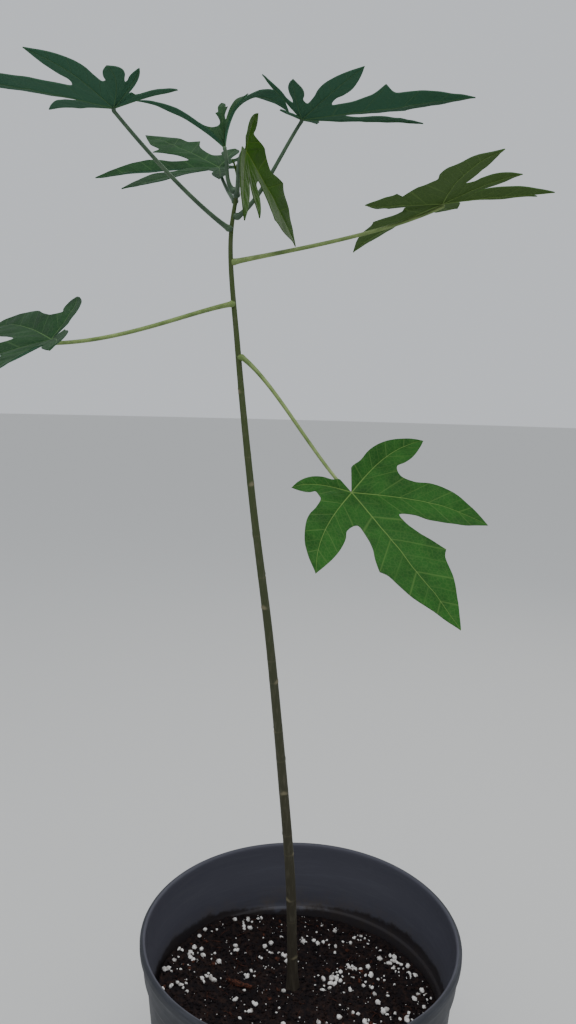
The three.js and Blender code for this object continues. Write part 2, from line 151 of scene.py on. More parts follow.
@dataclass(frozen=True)
class MouldedPolypropylene(Finish):
    """Recycled black polypropylene, injection moulded: a matt anthracite with soil dust and rub marks.

    The heaps tell where wet peat sticks high on the inner wall: a heading in degrees and how far it rises.
    """

    name: str = "moulded_polypropylene"
    plastic: str = "#2b2d33"
    worn: str = "#55575f"
    film: str = "#4b4b55"
    dust: str = "#5d544a"
    peat: str = "#1d1615"
    mottle_mm: float = 45.0
    patch_mm: float = 14.0
    scuff_mm: float = 3.0
    scuff_stretch: float = 0.06
    grain_mm: float = 0.9
    ledge: float = 184.0
    dust_rise: float = 24.0
    peat_line: float = 182.0
    heaps: tuple = ((170.0, 16.0), (18.0, 13.0))

    def dress(self, tree: Tree, surface: Node) -> None:
        """Adds mottled plastic, a film of dried dust inside, rub marks, stuck peat and a fine grain.

        Args:
            tree: the material's node tree.
            surface: its Principled shader.
        """
        add = partial(add_node, tree)
        place = add("TexCoord")
        spot = place.outputs["Object"]
        # Recycled plastic is a little cloudy from batch to batch of pellets.
        cloud = add("TexNoise", {"Scale": per_metre(self.mottle_mm), "Detail": 3.0}, {"Vector": spot})
        cloudy = add("MapRange", {"From Min": 0.35, "From Max": 0.7, "To Max": 0.16}, {"Value": cloud})
        body = add("Mix", {"data_type": "RGBA", 6: linear(self.plastic), 7: linear(self.worn)}, {0: cloudy})
        # Faces that look at the pot's axis are the inside, where watering leaves a dry grey film.
        level = add("Mapping", {"Scale": (1.0, 1.0, 0.0)}, {"Vector": spot})
        facing = add("VectorMath", {"operation": "DOT_PRODUCT"}, {0: level, 1: place.outputs["Normal"]})
        inside = add("MapRange", {"From Min": 0.01, "From Max": -0.04, "To Max": 0.9}, {"Value": facing})
        filmed = add("Mix", {"data_type": "RGBA", 7: linear(self.film)}, {0: inside, 6: body})
        # Rub marks lie along the wall, since pots are stacked and turned in each other.
        drawn = add("Mapping", {"Scale": (self.scuff_stretch, self.scuff_stretch, 1.0)}, {"Vector": spot})
        rubs = add("TexNoise", {"Scale": per_metre(self.scuff_mm), "Detail": 6.0, "Roughness": 0.7},
                   {"Vector": drawn})
        rub_share = add("MapRange", {"From Min": 0.5, "From Max": 0.72, "To Max": 0.45}, {"Value": rubs})
        rubbed = add("Mix", {"data_type": "RGBA", 7: linear(self.worn)}, {0: rub_share, 6: filmed})
        # Brown dust lies on the ledge and just above the soil, thinning out upwards.
        height = add("SeparateXYZ", None, {"Vector": spot}).outputs["Z"]
        high, low = (self.ledge + self.dust_rise) * MM, (self.ledge - 3) * MM
        near_soil = add("MapRange", {"From Min": high, "From Max": low, "To Max": 0.8}, {"Value": height})
        patches = add("TexNoise", {"Scale": per_metre(self.patch_mm), "Detail": 7.0, "Roughness": 0.65},
                      {"Vector": spot})
        patchy = add("MapRange", {"From Min": 0.42, "From Max": 0.68}, {"Value": patches})
        dusty = add("Math", {"operation": "MULTIPLY"}, {0: near_soil, 1: patchy})
        soiled = add("Math", {"operation": "MULTIPLY"}, {0: dusty, 1: inside})
        brown = add("Mix", {"data_type": "RGBA", 7: linear(self.dust)}, {0: soiled, 6: rubbed})
        peat_share = self.stuck_peat(tree, level, height, patches)
        stuck = add("Math", {"operation": "MULTIPLY"}, {0: peat_share, 1: inside})
        colour = add("Mix", {"data_type": "RGBA", 7: linear(self.peat)}, {0: stuck, 6: brown})
        dull = add("MapRange", {"To Min": 0.46, "To Max": 0.7}, {"Value": patches})
        # The mould is spark eroded; its grain is drawn coarser than the real 0.1 mm so that it shows.
        grain = add("TexNoise", {"Scale": per_metre(self.grain_mm), "Detail": 2.0}, {"Vector": spot})
        bump = add("Bump", {"Strength": 0.12, "Distance": 0.2 * MM}, {"Height": grain})
        set_inputs(tree, surface, {"Specular IOR Level": 0.3},
                   {"Base Color": colour, "Roughness": dull, "Normal": bump})

    def stuck_peat(self, tree: Tree, level: Node, height: Socket, patches: Node) -> Node:
        """Finds the part of the wall that wet peat sticks to, up to a ragged line.

        Args:
            tree: the material's node tree.
            level: the place, with no height.
            height: the place's height.
            patches: a cloudy pattern that ruffles the line.

        Returns:
            The peat's share, from 0 to 1.
        """
        add = partial(add_node, tree)
        around = add("VectorMath", {"operation": "NORMALIZE"}, {0: level})
        low, high = (self.peat_line - 3) * MM, (self.peat_line + 3) * MM
        top = add("MapRange", {"From Min": 0.3, "From Max": 0.7, "To Min": low, "To Max": high},
                  {"Value": patches})
        for heading, rise in self.heaps:
            facing = add("VectorMath", {"operation": "DOT_PRODUCT", 1: toward(heading)}, {0: around})
            heap = add("MapRange", {"From Min": 0.35, "From Max": 0.98, "To Max": rise * MM},
                       {"Value": facing})
            top = add("Math", {"operation": "ADD"}, {0: top, 1: heap})
        under = add("Math", {"operation": "SUBTRACT"}, {0: top, 1: height})
        return add("MapRange", {"From Min": -2.0 * MM, "From Max": 1.5 * MM, "To Max": 0.9}, {"Value": under})


@dataclass(frozen=True)
class MoistPeat(Finish):
    """Moist sphagnum peat: near-black brown, with redder drier crumbs and no shine."""

    name: str = "moist_peat"
    wet: str = "#191517"
    dry: str = "#392a24"
    crumb_mm: float = 5.0
    fibre_mm: float = 0.8

    def dress(self, tree: Tree, surface: Node) -> None:
        """Adds patches of drier crumbs, damp spots that shine a little, and a fibrous relief.

        Args:
            tree: the material's node tree.
            surface: its Principled shader.
        """
        add = partial(add_node, tree)
        place = add("TexCoord").outputs["Object"]
        crumbs = add("TexNoise", {"Scale": per_metre(self.crumb_mm), "Detail": 8.0, "Roughness": 0.7},
                     {"Vector": place})
        share = add("MapRange", {"From Min": 0.46, "From Max": 0.74}, {"Value": crumbs})
        colour = add("Mix", {"data_type": "RGBA", 6: linear(self.wet), 7: linear(self.dry)}, {0: share})
        rough = add("MapRange", {"To Min": 0.72, "To Max": 1.0}, {"Value": crumbs})
        fibres = add("TexNoise", {"Scale": per_metre(self.fibre_mm), "Detail": 4.0}, {"Vector": place})
        bump = add("Bump", {"Strength": 0.8, "Distance": 0.6 * MM}, {"Height": fibres})
        set_inputs(tree, surface, {"Specular IOR Level": 0.1},
                   {"Base Color": colour, "Roughness": rough, "Normal": bump})


@dataclass(frozen=True)
class ExpandedPerlite(Finish):
    """Perlite, volcanic glass popped by heat: chalk-white grains with grey pits, some soiled by peat."""

    name: str = "expanded_perlite"
    chalk: str = "#f3f2ef"
    pit: str = "#b9b4ac"
    soiled: str = "#7d7169"
    pore_mm: float = 0.9
    patch_mm: float = 6.0

    def dress(self, tree: Tree, surface: Node) -> None:
        """Adds pores in colour and relief, and grains that wet peat has stained.

        Args:
            tree: the material's node tree.
            surface: its Principled shader.
        """
        add = partial(add_node, tree)
        place = add("TexCoord").outputs["Object"]
        pores = add("TexNoise", {"Scale": per_metre(self.pore_mm), "Detail": 5.0}, {"Vector": place})
        share = add("MapRange", {"From Min": 0.52, "From Max": 0.72}, {"Value": pores})
        clean = add("Mix", {"data_type": "RGBA", 6: linear(self.chalk), 7: linear(self.pit)}, {0: share})
        patches = add("TexNoise", {"Scale": per_metre(self.patch_mm), "Detail": 3.0}, {"Vector": place})
        stain = add("MapRange", {"From Min": 0.5, "From Max": 0.68, "To Max": 0.75}, {"Value": patches})
        colour = add("Mix", {"data_type": "RGBA", 7: linear(self.soiled)}, {0: stain, 6: clean})
        bump = add("Bump", {"Strength": 0.6, "Distance": 0.3 * MM}, {"Height": pores})
        set_inputs(tree, surface, {"Roughness": 0.9}, {"Base Color": colour, "Normal": bump})


@dataclass(frozen=True)
class CompostedBark(Finish):
    """Composted conifer bark and peat fibre: reddish-brown flakes with a split, woody face."""

    name: str = "composted_bark"
    dark: str = "#21140f"
    red: str = "#5e3527"
    fibre_mm: float = 1.6

    def dress(self, tree: Tree, surface: Node) -> None:
        """Adds streaks of colour and relief.

        Args:
            tree: the material's node tree.
            surface: its Principled shader.
        """
        add = partial(add_node, tree)
        place = add("TexCoord").outputs["Object"]
        streaks = add("TexNoise", {"Scale": per_metre(self.fibre_mm), "Detail": 6.0}, {"Vector": place})
        share = add("MapRange", {"From Min": 0.4, "From Max": 0.65}, {"Value": streaks})
        colour = add("Mix", {"data_type": "RGBA", 6: linear(self.dark), 7: linear(self.red)}, {0: share})
        bump = add("Bump", {"Strength": 0.7, "Distance": 0.4 * MM}, {"Height": streaks})
        set_inputs(tree, surface, {"Roughness": 0.85, "Specular IOR Level": 0.2},
                   {"Base Color": colour, "Normal": bump})


@dataclass(frozen=True)
class YoungBark(Finish):
    """Papaya's first bark: soft and smooth, brown-grey at the foot and green at the top, with pale scars."""

    name: str = "young_bark"
    foot: str = "#433d34"
    middle: str = "#3e412e"
    top: str = "#47592c"
    scar: str = "#7d765e"
    cork: str = "#625e50"
    foot_height: float = 190.0
    top_height: float = 850.0
    streak_mm: float = 2.2
    streak_stretch: float = 0.16

    def dress(self, tree: Tree, surface: Node) -> None:
        """Adds the change of colour with height, cork streaks along the stem, and the leaf scars.

        Args:
            tree: the material's node tree.
            surface: its Principled shader.
        """
        add = partial(add_node, tree)
        place = add("TexCoord").outputs["Object"]
        height = add("SeparateXYZ", None, {"Vector": place}).outputs["Z"]
        share = add("MapRange", {"From Min": self.foot_height * MM, "From Max": self.top_height * MM},
                    {"Value": height})
        ramp = add("ValToRGB", None, {"Fac": share})
        stops = ramp.color_ramp.elements
        stops[0].color, stops[1].color = linear(self.foot), linear(self.top)
        stops.new(0.45).color = linear(self.middle)
        # Cork forms in streaks that follow the stem, long compared with their width.
        drawn = add("Mapping", {"Scale": (1.0, 1.0, self.streak_stretch)}, {"Vector": place})
        streaks = add("TexNoise", {"Scale": per_metre(self.streak_mm), "Detail": 6.0, "Roughness": 0.62},
                      {"Vector": drawn})
        cork_share = add("MapRange", {"From Min": 0.5, "From Max": 0.75, "To Max": 0.6}, {"Value": streaks})
        corky = add("Mix", {"data_type": "RGBA", 7: linear(self.cork)}, {0: cork_share, 6: ramp})
        scar_share = add("Attribute", {"attribute_name": "scar"}).outputs["Fac"]
        scarred = add("Mix", {"data_type": "RGBA", 7: linear(self.scar)}, {0: scar_share, 6: corky})
        rough = add("MapRange", {"To Min": 0.5, "To Max": 0.85}, {"Value": streaks})
        bump = add("Bump", {"Strength": 0.5, "Distance": 0.35 * MM}, {"Height": streaks})
        set_inputs(tree, surface, {"Specular IOR Level": 0.25},
                   {"Base Color": scarred, "Roughness": rough, "Normal": bump})


@dataclass(frozen=True)
class WaxyStalk(Finish):
    """A hollow green leaf stalk under a thin wax bloom: smooth, pale and faintly lined."""

    name: str = "waxy_stalk"
    green: str = "#60763f"
    pale: str = "#879a5f"
    bloom_mm: float = 9.0
    line_mm: float = 1.4

    def dress(self, tree: Tree, surface: Node) -> None:
        """Adds pale lengths of bloom and a soft wax shine.

        Args:
            tree: the material's node tree.
            surface: its Principled shader.
        """
        add = partial(add_node, tree)
        place = add("TexCoord").outputs["Object"]
        bloom = add("TexNoise", {"Scale": per_metre(self.bloom_mm), "Detail": 4.0}, {"Vector": place})
        share = add("MapRange", {"From Min": 0.35, "From Max": 0.7}, {"Value": bloom})
        colour = add("Mix", {"data_type": "RGBA", 6: linear(self.green), 7: linear(self.pale)}, {0: share})
        lines = add("TexNoise", {"Scale": per_metre(self.line_mm), "Detail": 2.0}, {"Vector": place})
        bump = add("Bump", {"Strength": 0.2, "Distance": 0.15 * MM}, {"Height": lines})
        set_inputs(tree, surface, {"Roughness": 0.5, "Specular IOR Level": 0.3},
                   {"Base Color": colour, "Normal": bump})


@dataclass(frozen=True)
class LeafTissue(Finish):
    """A papaya leaf: satin green above, greyer and duller below, with pale veins that fork into a net.

    The map "veins" gives each point the number of its side vein and its distance from the midrib in
    centimetres, and the attribute "underside" tells the two faces apart.
    """

    name: str = "leaf_tissue"
    upper: str = "#295a21"
    shade: str = "#1e4719"
    under: str = "#435c2f"
    vein: str = "#7f9c55"
    cloud_mm: float = 16.0
    net_mm: float = 2.6
    midrib_cm: float = 0.055
    side_vein: float = 0.02
    paleness: tuple = (0.6, 0.2, 0.1)
    shine: float = 0.08

    def dress(self, tree: Tree, surface: Node) -> None:
        """Adds both faces' greens, the three orders of veins, and their relief.

        Args:
            tree: the material's node tree.
            surface: its Principled shader.
        """
        add = partial(add_node, tree)
        place = add("TexCoord").outputs["Object"]
        beneath = add("Attribute", {"attribute_name": "underside"}).outputs["Fac"]
        rib, sides, net = orders = self.veins(tree, place)
        # Greens: clouds of deeper green above, and one greyer green below.
        cloud = add("TexNoise", {"Scale": per_metre(self.cloud_mm), "Detail": 5.0, "Roughness": 0.6},
                    {"Vector": place})
        deep = add("MapRange", {"From Min": 0.35, "From Max": 0.68}, {"Value": cloud})
        above = add("Mix", {"data_type": "RGBA", 6: linear(self.upper), 7: linear(self.shade)}, {0: deep})
        faces = add("Mix", {"data_type": "RGBA", 7: linear(self.under)}, {0: beneath, 6: above})
        # Each order of veins is paler than the next.
        pales = [add("Math", {"operation": "MULTIPLY", 1: share}, {0: order})
                 for order, share in zip(orders, self.paleness)]
        lines = add("Math", {"operation": "MAXIMUM"}, {0: pales[0], 1: pales[1]})
        pale = add("Math", {"operation": "MAXIMUM"}, {0: lines, 1: pales[2]})
        colour = add("Mix", {"data_type": "RGBA", 7: linear(self.vein)}, {0: pale, 6: faces})
        rough = add("MapRange", {"To Min": 0.52, "To Max": 0.78}, {"Value": beneath})
        # Veins are sunk above and stand out below, so one height serves both faces with its sign turned.
        low = add("Math", {"operation": "MULTIPLY", 1: 0.3}, {0: net})
        high = add("Math", {"operation": "MAXIMUM"}, {0: rib, 1: sides})
        relief = add("Math", {"operation": "MAXIMUM"}, {0: high, 1: low})
        turned = add("MapRange", {"To Min": -0.6, "To Max": 1.0}, {"Value": beneath})
        height = add("Math", {"operation": "MULTIPLY"}, {0: relief, 1: turned})
        bump = add("Bump", {"Strength": 0.7, "Distance": 0.35 * MM}, {"Height": height})
        set_inputs(tree, surface, {"Specular IOR Level": self.shine},
                   {"Base Color": colour, "Roughness": rough, "Normal": bump})

    def veins(self, tree: Tree, place: Socket) -> tuple[Node, Node, Node]:
        """Draws the midrib, the side veins and the net between them, each from 0 to 1.

        Args:
            tree: the material's node tree.
            place: the place on the leaf.

        Returns:
            The three orders of veins.
        """
        add = partial(add_node, tree)
        chart = add("UVMap", {"uv_map": "veins"})
        split = add("SeparateXYZ", None, {"Vector": chart})
        number, across = split.outputs["X"], split.outputs["Y"]
        # Midrib: widest at the joint, and thread-thin where the fifth side vein leaves it.
        off_rib = add("Math", {"operation": "ABSOLUTE"}, {0: across})
        girth = add("MapRange", {"From Max": 5.0, "To Min": self.midrib_cm, "To Max": 0.016},
                    {"Value": number})
        within = add("Math", {"operation": "DIVIDE"}, {0: off_rib, 1: girth})
        rib = add("MapRange", {"From Min": 1.6, "From Max": 0.5, "interpolation_type": "SMOOTHSTEP"},
                  {"Value": within})
        # Side veins: one at each whole number, and a thinner one half way between.
        off_side = add("Math", {"operation": "PINGPONG", 1: 0.5}, {0: number})
        side = add("MapRange", {"From Min": 2.2 * self.side_vein, "From Max": 0.5 * self.side_vein},
                   {"Value": off_side})
        off_half = add("Math", {"operation": "SUBTRACT", 0: 0.5}, {1: off_side})
        half = add("MapRange",
                   {"From Min": 1.8 * self.side_vein, "From Max": 0.4 * self.side_vein, "To Max": 0.5},
                   {"Value": off_half})
        sides = add("Math", {"operation": "MAXIMUM"}, {0: side, 1: half})
        # The net between them, as the edges of cells.
        cells = add("TexVoronoi", {"feature": "DISTANCE_TO_EDGE", "Scale": per_metre(self.net_mm)},
                    {"Vector": place})
        net = add("MapRange", {"From Min": 0.11, "From Max": 0.0}, {"Value": cells})
        return rib, sides, net


class AgeAndShade(Enum):
    """How old a leaf is and how shaded, which sets its blade's greens: the fresh and tender greens are
    darkened as painted shade.
    """

    GROWN = LeafTissue()
    # Painted shade: the fresh and tender greens are darker than the leaves' own colour. They stand in for the
    # backlight and weak light on the upper leaves and on leaf 2.
    FRESH = LeafTissue("leaf_tissue_fresh_painted_shade", "#1d4020", "#16331a", "#3a5f4a", "#5c7c4c")
    TENDER = LeafTissue("leaf_tissue_tender_painted_shade", "#2f5210", "#24430b", "#2f4a0c", "#5f782b")


@dataclass(frozen=True)
class MattPaper(Finish):
    """Matt paper roll for the studio floor: pale, even and without shine."""

    name: str = "matt_paper"
    tone: str = "#d8d8d6"

    def dress(self, tree: Tree, surface: Node) -> None:
        """Sets the paper's tone."""
        set_inputs(tree, surface, {"Base Color": linear(self.tone), "Roughness": 0.9}, {})


def mesh_object(name: str, points: Array, faces: Sequence) -> Object:
    """Makes a mesh object and puts it in the scene.

    Args:
        name: the object's name.
        points: its points in metres, one row each.
        faces: point numbers of each face.

    Returns:
        The object.
    """
    mesh = bpy.data.meshes.new(name)
    mesh.from_pydata(np.asarray(points).tolist(), [], [tuple(int(i) for i in face) for face in faces])
    made = bpy.data.objects.new(name, mesh)
    bpy.context.scene.collection.objects.link(made)
    return made


def mesh_piece(name: str, mesh: Mesh, finish: Finish, replaces: Sequence[str] = ()) -> Object:
    """Makes a piece of the part from a mesh in millimetres, dressed and riding on the part's body.

    Args:
        name: the piece's name.
        mesh: its points and faces.
        finish: its look.
        replaces: the CAD nodes that it stands for.

    Returns:
        The piece.
    """
    points, faces = mesh
    piece = mesh_object(name, np.asarray(points) * MM, faces)
    piece.data.polygons.foreach_set("use_smooth", [True] * len(faces))
    piece.data.update()
    piece.data.materials.append(bpy.data.materials.get(finish.name) or finish.material())
    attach(piece, BODY)
    if replaces:
        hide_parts(*replaces)
    log.info("%s: %d points, %d faces", name, len(points), len(faces))
    return piece


def set_point_values(piece: Object, name: str, values: Array) -> None:
    """Stores one number for each point of a piece, for its material to read.

    Args:
        piece: the object.
        name: the attribute's name.
        values: one number a point.
    """
    layer = piece.data.attributes.new(name, "FLOAT", "POINT")
    layer.data.foreach_set("value", np.asarray(values, np.float32))


def unit(vectors: Array) -> Array:
    """Scales each vector to length 1."""
    vectors = np.asarray(vectors, float)
    return vectors / np.linalg.norm(vectors, axis=-1, keepdims=True)


def toward(heading: float) -> Array:
    """Gives the level direction of a heading in degrees."""
    return np.array([math.cos(math.radians(heading)), math.sin(math.radians(heading)), 0.0])


def full_turn(sides: int) -> Array:
    """Gives evenly spaced turns right round, in radians."""
    return np.linspace(0, 2 * math.pi, sides, endpoint=False)


def ring(radius: float, height: float, sides: int) -> Array:
    """Gives points round the pot's axis.

    Args:
        radius: how far they are from it.
        height: how high they are.
        sides: how many there are.

    Returns:
        The points.
    """
    turns = full_turn(sides)
    return np.stack([radius * np.cos(turns), radius * np.sin(turns), np.full(sides, height)], axis=1)


def grid_faces(rows: int, columns: int, closed: bool) -> list[tuple[int, ...]]:
    """Lists the quads of a grid of points.

    Args:
        rows: the number of rows.
        columns: the points in each row.
        closed: whether the last column joins the first.

    Returns:
        Four point numbers for each quad.
    """
    last = columns if closed else columns - 1
    cells = [(r * columns, c, (c + 1) % columns) for r in range(rows - 1) for c in range(last)]
    return [(row + c, row + follow, row + columns + follow, row + columns + c) for row, c, follow in cells]


def drum_faces(rows: int, sides: int) -> list[tuple[int, ...]]:
    """Lists the faces of a closed round grid: its quads, and fans onto an end point before and after it.

    Args:
        rows: the number of rows.
        sides: the points in each row. The two end points are numbered after them all.

    Returns:
        The point numbers of each face.
    """
    count, last = rows * sides, (rows - 1) * sides
    first_fan = [(count, (j + 1) % sides, j) for j in range(sides)]
    last_fan = [(count + 1, last + j, last + (j + 1) % sides) for j in range(sides)]
    return grid_faces(rows, sides, True) + first_fan + last_fan


def joined(meshes: Sequence[Mesh]) -> Mesh:
    """Joins meshes into one.

    Args:
        meshes: points and faces of each.

    Returns:
        Points and faces of them all.
    """
    points, faces, start = [], [], 0
    for own_points, own_faces in meshes:
        points.append(own_points)
        faces += [tuple(start + k for k in face) for face in own_faces]
        start += len(own_points)
    return np.vstack(points), faces


def carried_frames(points: Array) -> tuple[Array, Array, Array]:
    """Carries a pair of cross directions along a line without twist.

    Args:
        points: the line's points.

    Returns:
        The tangent and two cross directions at each point.
    """
    tangents = unit(np.gradient(points, axis=0))
    first = [unit(np.cross(tangents[0], [0.0, 1.0, 0.0]))]
    for tangent in tangents[1:]:
        first.append(unit(first[-1] - tangent * np.dot(first[-1], tangent)))
    first = np.array(first)
    return tangents, first, np.cross(tangents, first)


def limb_mesh(points: Array, radii: Array, sides: int, dome: float = 0.4) -> Mesh:
    """Makes a round limb along a line, closed by a dome of one point at each end.

    Args:
        points: the line's points.
        radii: a radius for each point, or one for each point and side.
        sides: the number of sides.
        dome: how far each end stands out, as a share of its radius.

    Returns:
        Points and faces.
    """
    tangents, first, second = carried_frames(points)
    turns = full_turn(sides)
    radii = np.broadcast_to(np.asarray(radii, float).reshape(len(points), -1), (len(points), sides))
    cosines, sines = np.cos(turns)[None, :, None], np.sin(turns)[None, :, None]
    rings = points[:, None] + radii[..., None] * (first[:, None] * cosines + second[:, None] * sines)
    start = points[0] - tangents[0] * radii[0].mean() * dome
    end = points[-1] + tangents[-1] * radii[-1].mean() * dome
    return np.vstack([rings.reshape(-1, 3), start, end]), drum_faces(len(points), sides)


def centripetal(a: Array, b: Array, c: Array, d: Array, t: Array) -> Array:
    """Gives points of a centripetal Catmull-Rom line between the middle two of four points.

    Args:
        a: the point before.
        b: where the stretch starts.
        c: where it ends.
        d: the point after.
        t: shares of the stretch, as a column.

    Returns:
        One point a share.
    """
    gaps = [math.sqrt(np.linalg.norm(q - p)) + 1e-9 for p, q in ((a, b), (b, c), (c, d))]
    leave = ((b - a) / gaps[0] - (c - a) / (gaps[0] + gaps[1]) + (c - b) / gaps[1]) * gaps[1]
    reach = ((c - b) / gaps[1] - (d - b) / (gaps[1] + gaps[2]) + (d - c) / gaps[2]) * gaps[1]
    return b + leave * t + (3 * (c - b) - 2 * leave - reach) * t**2 + (2 * (b - c) + leave + reach) * t**3


def catmull_rom(points: Array, samples: int) -> Array:
    """Samples a centripetal Catmull-Rom line through points, evenly by length.

    Args:
        points: the points that it passes.
        samples: how many points to return.

    Returns:
        The samples.
    """
    padded = np.vstack([2 * points[0] - points[1], points, 2 * points[-1] - points[-2]])
    t = np.linspace(0, 1, 60, endpoint=False)[:, None]
    line = [centripetal(*four, t) for four in zip(padded, padded[1:], padded[2:], padded[3:])]
    return evened(np.vstack([*line, points[-1:]]), samples)


def distances(line: Array) -> Array:
    """Gives how far along a line each of its points lies."""
    return np.append(0, np.cumsum(np.linalg.norm(np.diff(line, axis=0), axis=1)))


def evened(line: Array, samples: int) -> Array:
    """Spaces points evenly by length along a line.

    Args:
        line: the line's points.
        samples: how many points to return.

    Returns:
        The evenly spaced points.
    """
    lengths = distances(line)
    stations = np.linspace(0, lengths[-1], samples)
    return np.stack([np.interp(stations, lengths, line[:, k]) for k in range(line.shape[1])], axis=1)


def bezier(controls: Sequence[Array], samples: int) -> Array:
    """Samples a cubic Bezier curve.

    Args:
        controls: its four control points.
        samples: how many points to return.

    Returns:
        The samples.
    """
    t = np.linspace(0, 1, samples)[:, None]
    weights = [(1 - t) ** 3, 3 * t * (1 - t) ** 2, 3 * t**2 * (1 - t), t**3]
    return sum(w * np.asarray(c, float) for w, c in zip(weights, controls))


def smoothstep(value: Array, low: float, high: float) -> Array:
    """Rises smoothly from 0 at low to 1 at high."""
    share = np.clip((np.asarray(value, float) - low) / (high - low), 0, 1)
    return share * share * (3 - 2 * share)


def bell(value: Array, width: float | Array) -> Array:
    """Falls off on both sides of a value of 0, from 1 to about a third at the width."""
    return np.exp(-((value / width) ** 2))


def ripple(points: Array, size_mm: float, seed: float = 0.0) -> Array:
    """Gives Perlin noise from -1 to 1 at points.

    Args:
        points: places in millimetres.
        size_mm: the pattern's size.
        seed: a shift that picks another pattern.

    Returns:
        One number a point.
    """
    return np.array([perlin.noise(Vector(p) / size_mm + Vector((seed, seed, seed))) for p in points])


def ripples(points: Array, layers: Sequence[tuple[float, float, float]], seed: float = 0.0) -> Array:
    """Adds up layers of Perlin noise.

    Args:
        points: places in millimetres.
        layers: each layer's height, its pattern's size and its own seed.
        seed: a shift of all the seeds.

    Returns:
        One number a point.
    """
    return sum(height * ripple(points, size_mm, own + seed) for height, size_mm, own in layers)


@dataclass
class NurseryPot:
    """The round plastic pot: a tapered wall, a collar with a rolled lip, a ledge and a drained floor."""

    rim_radius: float = 140.0
    height: float = 250.0
    base_radius: float = 115.0
    wall: float = 3.0
    floor: float = 4.0
    collar_height: float = 32.0
    collar_flare: float = 5.0
    lip: float = 5.0
    ledge: float = 184.0
    ledge_width: float = 2.0
    drains: int = 8
    drain_radius: float = 6.0
    drain_circle: float = 82.0
    drain_sides: int = 28
    gate_radius: float = 4.0
    sides: int = 224
    finish: Finish = field(default_factory=MouldedPolypropylene)

    def outer_radius(self, z: float) -> float:
        """Gives the wall's outer radius at a height."""
        share = z / (self.height - self.collar_height)
        return self.base_radius + share * (self.rim_radius - self.collar_flare - 1 - self.base_radius)

    def inner_radius(self, z: float) -> float:
        """Gives the wall's inner radius at a height, less the ledge below it."""
        return self.outer_radius(z) - self.wall - (0 if z > self.ledge - 1 else self.ledge_width)

    @cached_property
    def profile(self) -> list[tuple[float, float]]:
        """The wall's section, from the middle of the underside round the lip to the middle of the floor.

        Returns:
            Its points, as radius and height.
        """
        rim, top, foot, lip = self.rim_radius, self.height, self.height - self.collar_height, self.lip
        inner, outer, ledge = self.inner_radius, self.outer_radius, self.ledge
        shoulder = rim - self.collar_flare
        outside = [
            (0, 0.5), (self.gate_radius - 0.4, 0.5), (self.gate_radius, 0), (self.base_radius - 2.4, 0),
            (self.base_radius - 0.9, 0.35), (self.base_radius, 1.3), (outer(3), 3), (outer(60), 60),
            (outer(120), 120), (outer(ledge - 12), ledge - 12), (outer(foot - 1), foot - 1),
            (outer(foot) + 0.2, foot + 0.3), (shoulder + 1.2, foot + 3.4), (shoulder + 1.6, foot + 5),
            (rim - 2.6, top - 18), (rim - 1.3, top - 11), (rim - 1.1, top - 9.5), (rim - 0.2, top - 8.2),
            (rim, top - 6.5),
        ]
        bead = [(rim - lip / 2 + lip / 2 * math.cos(a), top - 2.6 + 2.6 * math.sin(a))
                for a in np.radians([5, 20, 38, 56, 74, 92, 110, 128, 146, 164])]
        inside = [
            (rim - lip, top - 4.4), (rim - lip - 0.5, top - 9), (rim - lip - 1.2, foot + 8),
            (inner(foot), foot), (inner(ledge + 6), ledge + 6), (inner(ledge + 1.4), ledge + 1.4),
            (inner(ledge) - 0.35, ledge + 0.7), (inner(ledge - 2) + 0.4, ledge - 0.4),
            (inner(ledge - 2), ledge - 1.5), (inner(ledge - 12), ledge - 12), (inner(90), 90),
            (inner(self.floor + 5), self.floor + 5), (inner(self.floor) - 1.6, self.floor + 1.5),
            (inner(self.floor) - 5, self.floor), (0, self.floor),
        ]
        return outside + bead + inside

    def build(self) -> Object:
        """Turns the profile into a mesh and cuts the drainage holes.

        Returns:
            The piece.
        """
        rings = [ring(radius, z, self.sides) for radius, z in self.profile[1:-1]]
        ends = [[0, 0, self.profile[0][1]], [0, 0, self.profile[-1][1]]]
        mesh = np.vstack([*rings, ends]), drum_faces(len(rings), self.sides)
        pot = mesh_piece("pot_moulding", mesh, self.finish, ["pot"])
        self.cut_drains(pot)
        return pot

    def cut_drains(self, pot: Object) -> None:
        """Cuts the ring of drainage holes through the floor.

        Args:
            pot: the pot's piece.
        """
        sides = self.drain_sides
        drill = np.vstack([ring(self.drain_radius, z, sides) for z in (-self.floor, 2 * self.floor)])
        ends = [tuple(range(sides))[::-1], tuple(range(sides, 2 * sides))]
        faces = grid_faces(2, sides, True) + ends
        places = [self.drain_circle * toward(360 * (i + 0.5) / self.drains) for i in range(self.drains)]
        points, faces = joined([(drill + place, faces) for place in places])
        drills = mesh_object("drills", points * MM, faces)
        cut = pot.modifiers.new("drains", "BOOLEAN")
        cut.object, cut.operation, cut.solver = drills, "DIFFERENCE", "EXACT"
        with bpy.context.temp_override(object=pot, active_object=pot):
            bpy.ops.object.modifier_apply(modifier=cut.name)
        bpy.data.objects.remove(drills)


